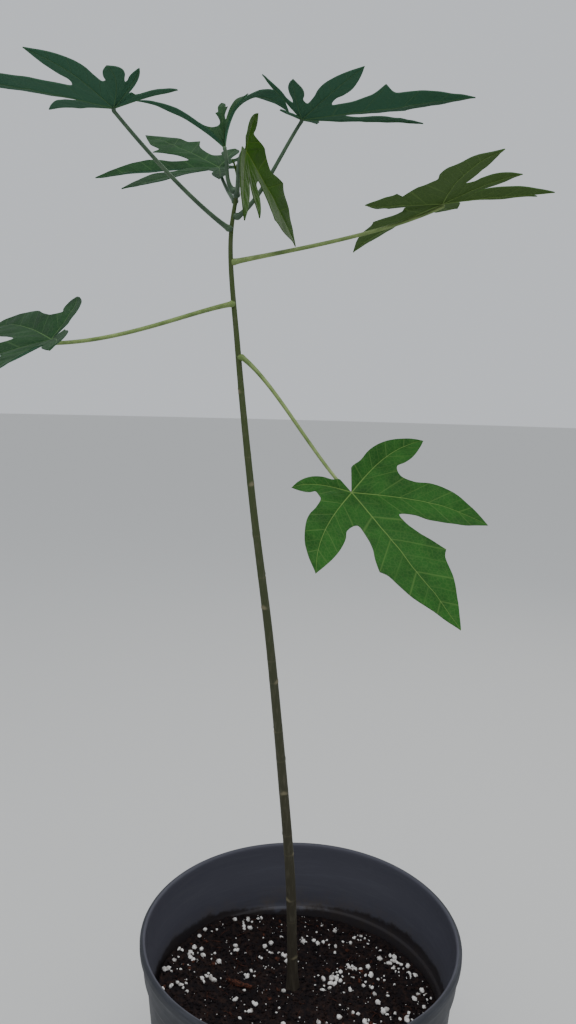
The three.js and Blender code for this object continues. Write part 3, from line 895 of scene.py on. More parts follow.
@dataclass
class Grains:
    """Many small grains of one kind, each a rumpled ball, joined into one mesh.

    Size is the smallest and the largest in millimetres, and sunk the share of a grain that is buried.
    """

    name: str
    slot: str
    finish: Finish
    count: int
    size: tuple[float, float]
    flatness: float
    rumple: float
    rings: int
    sunk: float
    kinds: int = 12

    def ball(self, random: np.random.Generator) -> Mesh:
        """Makes one rumpled ball of unit size.

        Args:
            random: the source of its bumps.

        Returns:
            Points and faces.
        """
        sides = self.rings + 2
        points = [(0.0, 0.0, -1.0)]
        for i in range(1, self.rings + 1):
            tilt = math.pi * i / (self.rings + 1)
            points += [(math.sin(tilt) * math.cos(a), math.sin(tilt) * math.sin(a), -math.cos(tilt))
                       for a in np.arange(sides) * 2 * math.pi / sides + 0.4 * i]
        points.append((0.0, 0.0, 1.0))
        faces = [tuple(1 + k for k in face) for face in grid_faces(self.rings, sides, True)]
        last = len(points) - 1
        faces += [(0, 1 + (j + 1) % sides, 1 + j) for j in range(sides)]
        faces += [(last, last - sides + j, last - sides + (j + 1) % sides) for j in range(sides)]
        points = np.array(points)
        return points * (1 + self.rumple * random.uniform(-1, 1, (len(points), 1))), faces

    def scatter(self, places: Array, random: np.random.Generator) -> Object:
        """Sets a grain at each place, turned at random and partly sunk.

        Args:
            places: where the grains lie.
            random: the source of their sizes and turns.

        Returns:
            The joined piece.
        """
        kinds = [self.ball(random) for _ in range(self.kinds)]
        low, high = self.size
        grains = []
        for place in places:
            points, faces = kinds[random.integers(self.kinds)]
            size = low + (high - low) * random.random() ** 1.7
            shape = [1, random.uniform(0.6, 1), self.flatness * random.uniform(0.7, 1.1)]
            stretch = np.array(shape) * size / 2
            turn = Matrix.Rotation(random.uniform(0, 6.28), 3, "Z")
            tilt = Matrix.Rotation(random.normal() * 0.5, 3, "X")
            lift = [0, 0, stretch[2] * (1 - 2 * self.sunk)]
            grains.append(((points * stretch) @ np.array(turn @ tilt).T + place + lift, faces))
        return mesh_piece(self.name, joined(grains), self.finish)


@dataclass
class PottingMix:
    """The potting mix: a crumbly peat surface with perlite, bark flakes and roots' fibres in it."""

    pot: NurseryPot
    level: float = 179.0
    edge_drop: float = 4.0
    swell: float = 1.2
    flat_radius: float = 14.0
    bank_height: float = 15.0
    bank_heading: float = 172.0
    bank_from: float = 62.0
    bank_to: float = 122.0
    stem_foot: tuple[float, float] = (-5.0, 16.0)
    bottom_gap: float = 0.5
    sides: int = 380
    rings: int = 140
    # The lumps on the surface, as layers of ripples.
    lumps: tuple = ((1.1, 13, 3.0), (0.9, 5, 7.0), (0.9, 2.4, 9.0))
    # Patches of perlite that show: place, spread and number of grains.
    patches: tuple = ((-88, 84, 7, 8), (-55, 98, 8, 6), (-38, 106, 5, 3), (8, 83, 3, 2), (30, 82, 6, 4),
                      (68, 91, 7, 6), (88, 62, 8, 12), (96, 50, 7, 9), (107, 40, 5, 6), (34, 30, 7, 8),
                      (29, 16, 7, 8), (112, 12, 6, 7), (73, -2, 8, 9), (98, -12, 7, 5), (-104, 35, 7, 7),
                      (-82, 18, 7, 7), (-42, 33, 7, 6), (-47, -11, 8, 5), (-18, -12, 4, 2), (53, 50, 7, 6),
                      (-106, -3, 5, 4), (-63, 62, 8, 5), (-20, 62, 5, 3), (-112, 42, 3, 3), (-118, 8, 3, 3))
    # The ends of the one long piece of bark, and how thick it is at its ends and beyond that in the middle.
    bark_ends: tuple = ((-66.0, 22.0), (-42.0, 13.6))
    bark_end: float = 0.7
    bark_belly: float = 1.9
    fibres: int = 150
    fibre_reach: tuple[float, float] = (2.0, 7.0)
    seed: int = 11
    peat: Finish = field(default_factory=MoistPeat)
    perlite: Finish = field(default_factory=ExpandedPerlite)
    bark: Finish = field(default_factory=CompostedBark)

    @property
    def edge(self) -> float:
        """The surface's outer radius, just inside the wall."""
        return self.pot.inner_radius(self.level - self.edge_drop) - 0.4

    def surface(self, x: Array, y: Array) -> Array:
        """Gives the smooth height of the surface: flat round the stem, heaped against the wall on the left.

        Args:
            x: places across.
            y: places in depth.

        Returns:
            Heights.
        """
        away = np.hypot(x - self.stem_foot[0], y - self.stem_foot[1])
        blend = smoothstep(away, self.flat_radius, 4 * self.flat_radius)
        swell = self.swell * (np.sin(x / 17 + 1) + np.sin(y / 13) + np.sin((x + y) / 29))
        facing = np.maximum(0, np.cos(np.arctan2(y, x) - math.radians(self.bank_heading)))
        bank = self.bank_height * smoothstep(np.hypot(x, y), self.bank_from, self.bank_to) * facing**2
        return self.level + blend * (swell - self.edge_drop * (x / self.pot.base_radius + 1) / 2) + bank

    def relief(self, x: Array, y: Array) -> Array:
        """Gives the height of the surface with its lumps and pits.

        Args:
            x: places across.
            y: places in depth.

        Returns:
            Heights.
        """
        flat = np.stack([x, y, np.zeros_like(x)], axis=-1)
        near = smoothstep(np.hypot(x - self.stem_foot[0], y - self.stem_foot[1]), 4, 16)
        return self.surface(x, y) + ripples(flat, self.lumps) * (0.35 + 0.65 * near)

    def build_surface(self) -> Object:
        """Builds the filled body of the mix, with a finely broken top.

        Returns:
            The piece.
        """
        radii = self.edge * np.linspace(0.008, 1, self.rings)
        top = np.vstack([ring(radius, 0, self.sides) for radius in radii])
        top[:, 2] = self.relief(top[:, 0], top[:, 1])
        floor = self.pot.floor + self.bottom_gap
        below = [(self.edge - 0.1, self.level - 12), (self.pot.inner_radius(floor + 4) - 0.5, floor + 4),
                 (self.pot.inner_radius(floor) - 5.5, floor)]
        rings = [ring(radius, z, self.sides) for radius, z in below]
        middle = float(self.relief(np.zeros(1), np.zeros(1))[0])
        faces = [face[::-1] for face in drum_faces(self.rings + len(below), self.sides)]
        mesh = np.vstack([top, *rings, [0, 0, middle], [0, 0, floor]]), faces
        return mesh_piece("potting_mix_body", mesh, self.peat, ["potting_mix"])

    def places(self, count: int, random: np.random.Generator, rim_margin: float = 3.0) -> Array:
        """Picks places on the surface.

        Args:
            count: how many.
            random: their source.
            rim_margin: how far they stay from the wall.

        Returns:
            The places.
        """
        radius = (self.edge - rim_margin) * np.sqrt(random.random(count))
        turn = random.uniform(0, 2 * math.pi, count)
        x, y = radius * np.cos(turn), radius * np.sin(turn)
        clear = np.hypot(x - self.stem_foot[0], y - self.stem_foot[1]) > 7.5
        x, y = x[clear], y[clear]
        return np.stack([x, y, self.relief(x, y)], axis=1)

    def clustered(self, count: int, random: np.random.Generator) -> Array:
        """Picks places for perlite: the patches, and loose grains that lie thicker in some places.

        Args:
            count: how many loose grains.
            random: the source of the places.

        Returns:
            The places.
        """
        rows = [(x, y, spread) for x, y, spread, grains in self.patches for _ in range(grains)]
        x, y, spread = np.array(rows, float).T
        x, y = x + spread * random.normal(size=len(x)) * 0.7, y + spread * random.normal(size=len(y)) * 0.7
        kept = np.hypot(x, y) < self.edge - 3
        near = np.stack([x[kept], y[kept], self.relief(x[kept], y[kept])], axis=1)
        tried = self.places(4 * count, random, 4.0)
        patchy = ripple(tried, 24, 5.0) * 0.9 + random.normal(size=len(tried)) * 0.35
        return np.vstack([near, tried[np.argsort(-patchy)[:count]]])

    def build(self) -> list[Object]:
        """Builds the mix and everything in it.

        Returns:
            The pieces.
        """
        random = np.random.default_rng(self.seed)
        made = [self.build_surface()]
        # Each kind has its count, size, flatness, rumple, rings and how far it is sunk.
        crumbs = Grains("peat_crumbs", "potting_mix", self.peat, 7000, (0.8, 4.2), 0.8, 0.28, 2, 0.42)
        coarse = Grains("perlite_coarse", "perlite", self.perlite, 160, (2.2, 6.0), 0.8, 0.28, 5, 0.3)
        fine = Grains("perlite_fine", "perlite", self.perlite, 460, (0.7, 2.3), 0.9, 0.28, 2, 0.3)
        flakes = Grains("bark_flakes", "potting_mix", self.bark, 70, (2.5, 7.0), 0.3, 0.3, 3, 0.3)
        for grains in (crumbs, fine, flakes):
            made.append(grains.scatter(self.places(grains.count, random), random))
        made.append(coarse.scatter(self.clustered(coarse.count, random), random))
        return made + [self.build_bark_bit(), self.build_fibres(random)]

    def build_bark_bit(self) -> Object:
        """Builds the one long piece of bark that lies on the left.

        Returns:
            The piece.
        """
        x, y = np.linspace(*self.bark_ends, 30).T
        line = np.stack([x, y, self.surface(x, y) + 1.6], axis=1)
        share = np.linspace(0, 1, len(line))[:, None]
        turns = full_turn(14)[None, :]
        knots = 1 + 0.25 * np.sin(9 * share + 2 * turns)
        girth = self.bark_end + self.bark_belly * np.sin(math.pi * (0.08 + 0.84 * share)) * knots
        return mesh_piece("bark_piece", limb_mesh(line, girth, turns.size), self.bark)

    def build_fibres(self, random: np.random.Generator) -> Object:
        """Builds short peat fibres that lie on the surface.

        Args:
            random: the source of their places and bends.

        Returns:
            The joined piece.
        """
        made = []
        s = np.linspace(-1, 1, 9)
        for place in self.places(self.fibres, random, 9.0):
            heading = random.uniform(0, 2 * math.pi)
            reach = random.uniform(*self.fibre_reach)
            bow = random.normal() * 0.35 * reach * s**2
            x = place[0] + reach * s * math.cos(heading) - bow * math.sin(heading)
            y = place[1] + reach * s * math.sin(heading) + bow * math.cos(heading)
            line = np.stack([x, y, self.surface(x, y) + 1.3 + 0.8 * (1 - s**2)], axis=1)
            made.append(limb_mesh(line, 0.22 - 0.12 * s**2, 5))
        return mesh_piece("peat_fibres", joined(made), self.bark)


@dataclass
class Stem:
    """The slender stem: a tapering curve with a slight root flare, old leaf scars and faint ribs."""

    course: tuple = ((-5, 16, 179.3), (-10, 4, 290), (-20, -14, 400), (-33, -35, 522), (-47, -56, 630),
                     (-59, -80, 745), (-64, -95, 816), (-59, -102, 850))
    foot_radius: float = 4.5
    tip_radius: float = 1.3
    flare_radius: float = 1.6
    flare_height: float = 14.0
    buried: float = 3.0
    first_scar: float = 214.0
    last_scar: float = 722.0
    scar_step: float = 33.0
    scar_unevenness: float = 0.22
    first_turn: float = 2.2
    # One scar: its height, how far its rim stands out and its face is sunk, and the swelling that it is on.
    scar_height: float = 1.75
    scar_rim: float = 0.3
    scar_depth: float = 0.22
    node_swelling: float = 0.07
    # Faint ribs: how high they are, how many, how far up the stem they turn by a radian, and their start.
    ribs: tuple = ((0.07, 5, 90, 0.0), (0.05, 11, -37, 1.3))
    rings: int = 1000
    sides: int = 60
    finish: Finish = field(default_factory=YoungBark)

    @cached_property
    def line(self) -> Array:
        """The centre line, evenly sampled from foot to tip."""
        return catmull_rom(np.array(self.course, float), self.rings)

    @cached_property
    def length(self) -> float:
        """The centre line's length."""
        return float(distances(self.line)[-1])

    def radius(self, share: Array) -> Array:
        """Gives the radius at a share of the length."""
        taper = self.foot_radius + (self.tip_radius - self.foot_radius) * np.asarray(share) ** 1.5
        return taper + self.flare_radius * np.exp(-np.asarray(share) * self.length / self.flare_height)

    def share_at(self, z: float) -> float:
        """Gives the share of the length at which the stem reaches a height."""
        return float(np.interp(z, self.line[:, 2], np.linspace(0, 1, self.rings)))

    def at(self, share: float) -> tuple[Array, Array]:
        """Gives the centre and the direction of growth at a share of the length.

        Args:
            share: from 0 at the foot to 1 at the tip.

        Returns:
            The point and the unit tangent.
        """
        spot = share * (self.rings - 1)
        tangents = unit(np.gradient(self.line, axis=0))
        steps = np.arange(self.rings)
        point = np.array([np.interp(spot, steps, self.line[:, k]) for k in range(3)])
        return point, unit(np.array([np.interp(spot, steps, tangents[:, k]) for k in range(3)]))

    def scars(self) -> list[tuple[float, float]]:
        """Lists the old leaf scars, one golden angle apart and at slightly uneven heights.

        Returns:
            Each scar's distance along the stem and its turn.
        """
        steps = range(1 + int((self.last_scar - self.first_scar) / self.scar_step))
        uneven = [i + self.scar_unevenness * math.sin(2.6 * i) for i in steps]
        heights = [self.first_scar + self.scar_step * place for place in uneven]
        turns = [(self.first_turn + i * GOLDEN_ANGLE) % (2 * math.pi) for i in steps]
        return [(self.share_at(z) * self.length, turn) for z, turn in zip(heights, turns)]

    def build(self) -> Object:
        """Builds the stem with its relief.

        Returns:
            The piece.
        """
        shares = np.linspace(0, 1, self.rings)
        along, turn = np.meshgrid(shares * self.length, full_turn(self.sides), indexing="ij")
        radius = np.repeat(self.radius(shares)[:, None], self.sides, axis=1)
        ribs = sum(height * np.sin(count * turn + along / twist + start)
                   for height, count, twist, start in self.ribs)
        radius = radius + ribs * smoothstep(radius, 1.2, 3.0)
        scar = np.zeros_like(radius)
        for distance, facing in self.scars():
            scar = np.maximum(scar, self.mark(radius, along - distance, turn, facing))
        foot = 0.5 * np.sin(4 * turn + 0.8) * np.exp(-along / 9)
        points, faces = limb_mesh(self.line, radius + foot, self.sides)
        points[: self.sides] -= [0, 0, self.buried]
        piece = mesh_piece("stem_bark", (points, faces), self.finish, ["stem"])
        set_point_values(piece, "scar", np.append(scar.reshape(-1), [0.0, 0.0]))
        log.info("stem_bark: %d scars over %.0f mm", len(self.scars()), self.length)
        return piece

    def mark(self, radius: Array, along: Array, turn: Array, facing: float) -> Array:
        """Presses one leaf scar into the bark: a raised heart-shaped rim round a sunk, corky face.

        Args:
            radius: the stem's radii, which it changes.
            along: distance along the stem from the scar.
            turn: the turn of each point.
            facing: the scar's turn.

        Returns:
            How corky each point is.
        """
        across = np.angle(np.exp(1j * (turn - facing))) * radius
        wide, drawn_down = 0.62 * radius + 0.4, along + 0.35 * np.abs(across)
        span = np.sqrt((across / wide) ** 2 + (drawn_down / self.scar_height) ** 2)
        radius += (self.scar_rim * bell(span - 1, 0.28) - self.scar_depth * bell(span, 0.7)
                   + self.node_swelling * bell(along, 2.6))
        line = 0.18 * bell(along + 1.2, 0.5) * (span > 0.9)
        return np.clip(0.85 * np.exp(-((span / 1.05) ** 4)) + line, 0, 1)


@dataclass(frozen=True)
class LobePlan:
    """How the lobes of one kind of leaf are cut.

    A half outline lists points of one side of a lobe, as shares of the way from its neck to its tip and
    of its length across, each with the number of the side vein that ends there. A toothed lobe is widest
    at a side tooth, its third point.
    """

    sinus: float
    basal_web: float
    basal_spread: float
    forward_sweep: float
    toothed: tuple
    smooth: tuple


class Outline(Enum):
    """The two kinds of leaf."""

    BROAD = LobePlan(
        0.31, 0.45, 38.0, 13.0,
        ((0.2, 0.16, 1.3), (0.31, 0.2, 1.65), (0.42, 0.235, 2.0), (0.47, 0.2, 2.3), (0.65, 0.155, 3.0),
         (0.84, 0.075, 4.0), (1.0, 0.0, 5.0)),
        ((0.16, 0.17, 1.3), (0.33, 0.188, 2.0), (0.51, 0.178, 2.7), (0.68, 0.14, 3.4), (0.85, 0.077, 4.2),
         (1.0, 0.0, 5.0)))
    CUT = LobePlan(
        0.27, 0.2, 26.0, 3.0,
        ((0.18, 0.115, 1.3), (0.3, 0.15, 1.65), (0.43, 0.23, 2.0), (0.48, 0.145, 2.35), (0.64, 0.135, 3.0),
         (0.83, 0.07, 4.0), (1.0, 0.0, 5.0)),
        ((0.18, 0.11, 1.3), (0.31, 0.14, 2.0), (0.46, 0.15, 2.7), (0.64, 0.125, 3.4), (0.83, 0.068, 4.2),
         (1.0, 0.0, 5.0)))


@dataclass(frozen=True)
class Lobe:
    """One lobe: its turn from the heading, its length, and what it lifts and droops beyond the leaf's own."""

    turn: float
    length: float
    lift: float = 0.0
    droop: float | None = None


@dataclass
class Side:
    """One side of a lobe at its main points, from the joint to the tip."""

    hand: int
    margin: Array
    folds: Array
    ribs: Array
    numbers: Array
    joined: bool


@dataclass
class Sheet:
    """The fine grid of one side of a lobe: its rows run like side veins from the midrib to the margin."""

    hand: int
    flat: Array
    away: Array
    share: Array
    fold: Array
    number: Array
    free_from: int


@dataclass
class BladeMesh:
    """A blade's mesh while its sheets are joined: a point that two sheets share is stored once."""

    known: dict[tuple, int] = field(default_factory=dict)
    rows: list[tuple] = field(default_factory=list)
    faces: list[list[int]] = field(default_factory=list)
    chart: list[tuple[float, float]] = field(default_factory=list)

    def number(self, sheet: Sheet, row: int, column: int, below: int) -> int:
        """Gives a grid point's number, and stores the point when it is new.

        Args:
            sheet: the grid.
            row: its row.
            column: its column.
            below: 0 on the upper face and 1 on the underside.

        Returns:
            The number.
        """
        x, y = (float(v) for v in sheet.flat[row, column])
        key = (round(x, 3), round(y, 3), below)
        if key not in self.known:
            self.known[key] = len(self.rows)
            values = (sheet.fold[row, column], sheet.away[row, column], sheet.share[row, column])
            self.rows.append((x, y, *values, sheet.number[row], below))
        return self.known[key]

    def add_face(self, sheet: Sheet, corners: Sequence[tuple[int, int, int]]) -> None:
        """Adds a face with its corners' places on the vein map, as a triangle where two corners meet.

        Args:
            sheet: the grid.
            corners: the row, column and face of each corner.
        """
        numbers, places = [], []
        for row, column, below in corners:
            number = self.number(sheet, row, column, below)
            if number not in numbers:
                numbers.append(number)
                places.append((float(sheet.number[row]), sheet.hand * float(sheet.away[row, column]) / 10))
        if len(numbers) > 2:
            self.faces.append(numbers)
            self.chart += places

    def add_sheet(self, sheet: Sheet) -> None:
        """Adds both faces of a sheet, and the rim along its own margin.

        Args:
            sheet: the grid.
        """
        rows, columns = sheet.share.shape
        last = columns - 1
        for row in range(rows - 1):
            for column in range(last):
                quad = [(row, column), (row + 1, column), (row + 1, column + 1), (row, column + 1)]
                for below in (0, 1):
                    turned = quad if (sheet.hand > 0) == (below == 0) else quad[::-1]
                    self.add_face(sheet, [(r, c, below) for r, c in turned])
            if row >= sheet.free_from:
                rim = [(row, last, 0), (row + 1, last, 0), (row + 1, last, 1), (row, last, 1)]
                self.add_face(sheet, rim[::-1] if sheet.hand > 0 else rim)


@dataclass
class Blade:
    """A palmate leaf blade, bent in space from a flat plan of lobes."""

    joint: tuple[float, float, float]
    heading: float
    pitch: float
    roll: float
    cup: float
    droop: float
    lobes: tuple[Lobe, ...]
    outline: Outline = Outline.CUT
    teeth: tuple[int, ...] = ()
    thickness: float = 0.5
    v_fold: float = 0.14
    vein_slant: float = 0.8
    basal_depth: float = 0.8
    slimmest: float = 0.55
    bisector_gap: float = 1.5
    rib_setback: float = 0.5
    rib_neck: float = 0.8
    inner_rows: int = 7
    step: float = 1.7
    quilt_height: float = 1.4
    # The waves in the sheet, as layers of ripples, and how high they all are.
    waves: tuple = ((1.0, 21, 0.0), (0.5, 9, 4.0))
    ripple_height: float = 0.9
    rib_height: float = 0.8
    seed: float = 0.0

    @cached_property
    def axes(self) -> tuple[Array, Array, Array]:
        """The blade's own directions.

        Returns:
            The heading, the side to its left, and up.
        """
        a, p, r = np.radians([self.heading, self.pitch, self.roll])
        heading = np.array([math.cos(a) * math.cos(p), math.sin(a) * math.cos(p), math.sin(p)])
        level = np.array([-math.sin(a), math.cos(a), 0.0])
        side = math.cos(r) * level + math.sin(r) * np.cross(heading, level)
        return heading, side, np.cross(heading, side)

    def bend(self, flat: Array, fold: Array, layer: Array) -> Array:
        """Bends flat points down along their rays and lifts them off the sheet.

        Args:
            flat: points of the flat plan.
            fold: how far each is lifted by the lobe's V.
            layer: how far each lies above the middle of the sheet.

        Returns:
            Points in space.
        """
        heading, side, up = self.axes
        reach = np.hypot(flat[:, 0], flat[:, 1])
        turn = np.arctan2(flat[:, 1], flat[:, 0])
        turns = [lobe.turn for lobe in self.lobes]
        lift = np.radians(self.cup + np.interp(np.degrees(turn), turns, [lobe.lift for lobe in self.lobes]))
        droops = [self.droop if lobe.droop is None else lobe.droop for lobe in self.lobes]
        bend = np.radians(np.interp(np.degrees(turn), turns, droops)) / 100
        tilt = lift - bend * reach
        ray = np.cos(turn)[:, None] * heading + np.sin(turn)[:, None] * side
        out = (np.sin(lift) - np.sin(tilt)) / bend
        rise = (np.cos(tilt) - np.cos(lift)) / bend
        normal = np.cos(tilt)[:, None] * up - np.sin(tilt)[:, None] * ray
        normal[reach < 1e-6] = up
        off_sheet = (fold + layer)[:, None] * normal
        return np.array(self.joint) + out[:, None] * ray + rise[:, None] * up + off_sheet

    def sweep(self, index: int) -> float:
        """Gives how far a lobe curves forward, in degrees."""
        return self.outline.value.forward_sweep * math.sin(math.radians(self.lobes[index].turn))

    def lobe_points(self, index: int, along: Array, across: Array) -> Array:
        """Places points of a lobe on the flat plan.

        Args:
            index: the lobe's number.
            along: how far along the midrib each lies, as shares of the lobe's length.
            across: how far to the left of it, as shares of the lobe's length.

        Returns:
            The points.
        """
        lobe = self.lobes[index]
        reach = np.minimum(1, np.hypot(along, across))
        angle = np.radians(lobe.turn + self.sweep(index) * (1 - reach**2))
        x, y = along * np.cos(angle) - across * np.sin(angle), along * np.sin(angle) + across * np.cos(angle)
        return lobe.length * np.stack([x, y], axis=-1)

    def side(self, index: int, hand: int) -> Side:
        """Works out the main points of one side of a lobe.

        Args:
            index: the lobe's number.
            hand: 1 for its left side, -1 for its right.

        Returns:
            The side.
        """
        plan, lobe = self.outline.value, self.lobes[index]
        other = self.lobes[index + hand] if 0 <= index + hand < len(self.lobes) else None
        base = lobe.turn + self.sweep(index)
        half = abs(other.turn + self.sweep(index + hand) - base) / 2 if other else plan.basal_spread
        reach = (lobe.length + other.length) / 2 if other else self.basal_depth * lobe.length
        edge = math.radians(base + hand * half)
        web = 1 + plan.basal_web * (1 - math.cos(edge)) if other else 1
        depth = plan.sinus * web * reach
        neck = depth / lobe.length * math.cos(math.radians(half))
        free, wide, numbers = np.array(plan.toothed if index in self.teeth else plan.smooth).T
        longest = max(each.length for each in self.lobes)
        slim = self.slimmest + (1 - self.slimmest) * lobe.length / longest
        along = neck + (1 - neck) * free
        room = math.tan(math.radians(half - self.bisector_gap))
        narrow = min(1, room / float(np.max(wide * slim / along))) if other else 1
        across = wide * slim * narrow
        inner = np.array([0, 0.5, 1])
        bisector = np.outer(inner * depth, [math.cos(edge), math.sin(edge)])
        rib_neck = self.rib_neck * plan.sinus
        return Side(
            hand=hand,
            margin=np.vstack([bisector, self.lobe_points(index, along, hand * across)]),
            folds=np.append(inner * depth * math.sin(math.radians(half)), lobe.length * across),
            ribs=np.append(self.rib_setback * inner * plan.sinus,
                           rib_neck + (1 - rib_neck) * free - self.vein_slant * wide),
            numbers=np.append([0, 0.45, 0.8], numbers),
            joined=other is not None,
        )

    def fine_margin(self, side: Side, counts: Sequence[int], corners: Sequence[int]) -> Array:
        """Draws the margin as a smooth line, with a rounded gap where two lobes join.

        Args:
            side: the side's main points.
            counts: how many steps each stretch gets.
            corners: the points where the line may turn sharply, from the gap to the tip.

        Returns:
            The fine margin points.
        """
        margin = side.margin
        along = unit(margin[2])
        mirrored = 2 * along * np.dot(margin[3], along) - margin[3]
        before = mirrored if side.joined else margin[1]
        fine = [margin[:1]] + [np.linspace(margin[i], margin[i + 1], counts[i] + 1)[1:] for i in (0, 1)]
        for start, stop in zip(corners, corners[1:]):
            points = margin[start : stop + 1]
            first = before if start == corners[0] else 2 * points[0] - points[1]
            padded = np.vstack([first, points, 2 * points[-1] - points[-2]])
            for k in range(len(points) - 1):
                t = np.linspace(0, 1, counts[start + k] + 1)[1:, None]
                fine.append(centripetal(*padded[k : k + 4], t))
        return np.vstack(fine)

    def sheets(self, index: int) -> list[Sheet]:
        """Makes the fine grids of both sides of a lobe, which meet point for point on its midrib.

        Args:
            index: the lobe's number.

        Returns:
            The two grids.
        """
        sides = [self.side(index, hand) for hand in (-1, 1)]
        count = len(sides[0].margin)
        gaps = np.max([np.linalg.norm(np.diff(side.margin, axis=0), axis=1) for side in sides], axis=0)
        steps = [self.inner_rows] * 2 + [max(2, math.ceil(gap / self.step)) for gap in gaps[2:]]
        corners = [2, 5, count - 1] if index in self.teeth else [2, count - 1]
        spots = np.concatenate([[0.0], *[i + np.arange(1, n + 1) / n for i, n in enumerate(steps)]])
        made = []
        for side in sides:
            fold, along, number = (np.interp(spots, np.arange(count), values)
                                   for values in (side.folds, side.ribs, side.numbers))
            midrib = self.lobe_points(index, along, np.zeros_like(along))
            run = self.fine_margin(side, steps, corners) - midrib
            wide = np.linalg.norm(run, axis=1) + 1e-9
            share = self.columns(wide)
            flat = midrib[:, None] + share[..., None] * run[:, None]
            free_from = 2 * self.inner_rows if side.joined else 0
            made.append(Sheet(side.hand, flat, share * wide[:, None], share, share * fold[:, None], number,
                              free_from))
        return made

    @staticmethod
    def columns(wide: Array) -> Array:
        """Spaces the columns of a row: close beside the midrib and at the margin, even between.

        Args:
            wide: each row's width.

        Returns:
            Shares of the width, one row for each.
        """
        even = np.linspace(0, 1, 7)[1:]
        rows = []
        for width in wide:
            near = [min(0.4 / width, 0.12), min(0.95 / width, 0.24)]
            far = 1 - min(0.35 / width, 0.08)
            rows.append([0, *near, *(near[-1] + (far - near[-1]) * even), 1])
        return np.array(rows)

    def build(self, name: str, finish: Finish, slot: str, replaces: Sequence[str]) -> Object:
        """Builds the blade as a piece.

        Args:
            name: the piece's name.
            finish: its look.
            slot: the record's material slot; it is not used.
            replaces: the CAD nodes that it stands for.

        Returns:
            The piece.
        """
        made = BladeMesh()
        for index in range(len(self.lobes)):
            for sheet in self.sheets(index):
                made.add_sheet(sheet)
        x, y, fold, away, share, number, below = np.array(made.rows).T
        plan = np.column_stack([x, y, np.zeros_like(x)])
        ridge = bell(away, 0.95 - 0.15 * number) * (1 - 0.13 * number)
        quilt = self.quilt_height * np.sin(math.pi * number) ** 2 * share * (1 - share)
        wave = ripples(plan, self.waves, self.seed)
        lift = self.v_fold * fold + quilt + self.ripple_height * wave * smoothstep(np.hypot(x, y), 6, 55)
        half = self.thickness / 2
        layer = np.where(below > 0, -half - self.rib_height * ridge, half - 0.2 * ridge)
        points = self.bend(plan[:, :2], lift, layer)
        piece = mesh_piece(name, (points, made.faces), finish, replaces)
        chart = piece.data.uv_layers.new(name="veins")
        chart.data.foreach_set("uv", np.array(made.chart, np.float32).ravel())
        set_point_values(piece, "underside", below)
        return piece


@dataclass
class Stalk:
    """A leaf stalk: a long thin limb with a swollen foot on the stem and a knuckle under the blade."""

    stem: Stem
    node: float
    blade: Blade
    arch: float
    base_radius: float = 2.0
    waist_radius: float = 1.5
    tip_radius: float = 1.1
    collar: float = 0.08
    foot_swelling: float = 0.35
    knuckle: float = 0.25
    grooves: int = 5
    groove_depth: float = 0.05
    solid_thickness: float = 2.0
    samples: int = 90
    sides: int = 20
    finish: Finish = field(default_factory=WaxyStalk)

    def line(self) -> tuple[Array, float]:
        """Gives the stalk's line from inside the bark to the blade.

        Returns:
            The line's points, and the length of its buried foot.
        """
        share = self.stem.share_at(self.node)
        centre, growth = self.stem.at(share)
        _, _, up = self.blade.axes
        joint = np.array(self.blade.joint, float)
        outward = joint - centre
        outward = unit(outward - growth * np.dot(outward, growth))
        span = np.linalg.norm(joint - centre)
        to_end = unit(joint - centre)
        arrive = to_end * 0.3 * span + up * 0.05 * span - [0, 0, self.arch]
        rim_lift = self.tip_radius * math.sqrt(max(0, 1 - np.dot(unit(arrive), up) ** 2))
        end = joint - up * (self.solid_thickness / 2 + CLEARANCE + rim_lift)
        leave = outward * (0.05 * span + 3) + to_end * 0.2 * span
        slant = math.sqrt(max(0, 1 - np.dot(unit(leave), outward) ** 2))
        radius = float(self.stem.radius(share))
        standoff = radius + CLEARANCE + 0.1 + slant * self.base_radius
        start = centre + outward * standoff
        curve = bezier([start, start + leave + [0, 0, self.arch], end - arrive, end], self.samples)
        foot = centre + outward * 0.35 * radius
        buried = np.linspace(foot, start, 6, endpoint=False)
        crown = np.linspace(end, joint - up * 0.3, 4)[1:]
        return np.vstack([buried, curve, crown]), float(np.linalg.norm(start - foot))

    def build(self, name: str, replaces: Sequence[str]) -> Object:
        """Builds the stalk as a piece.

        Args:
            name: the piece's name.
            replaces: the CAD nodes that it stands for.

        Returns:
            The piece.
        """
        line, foot = self.line()
        lengths = distances(line)
        share = np.clip((lengths - foot) / (lengths[-1] - foot), 0, 1)
        radii = self.waist_radius + (self.tip_radius - self.waist_radius) * share
        radii = radii + (self.base_radius - self.waist_radius) * np.exp(-share / self.collar)
        radii += self.foot_swelling * bell(lengths - foot * 0.8, 1.6)
        radii += self.knuckle * bell(lengths[-1] - lengths, 2.2)
        grooved = self.groove_depth * np.sin(self.grooves * full_turn(self.sides))
        mesh = limb_mesh(line, radii[:, None] + grooved, self.sides)
        return mesh_piece(name, mesh, self.finish, replaces)


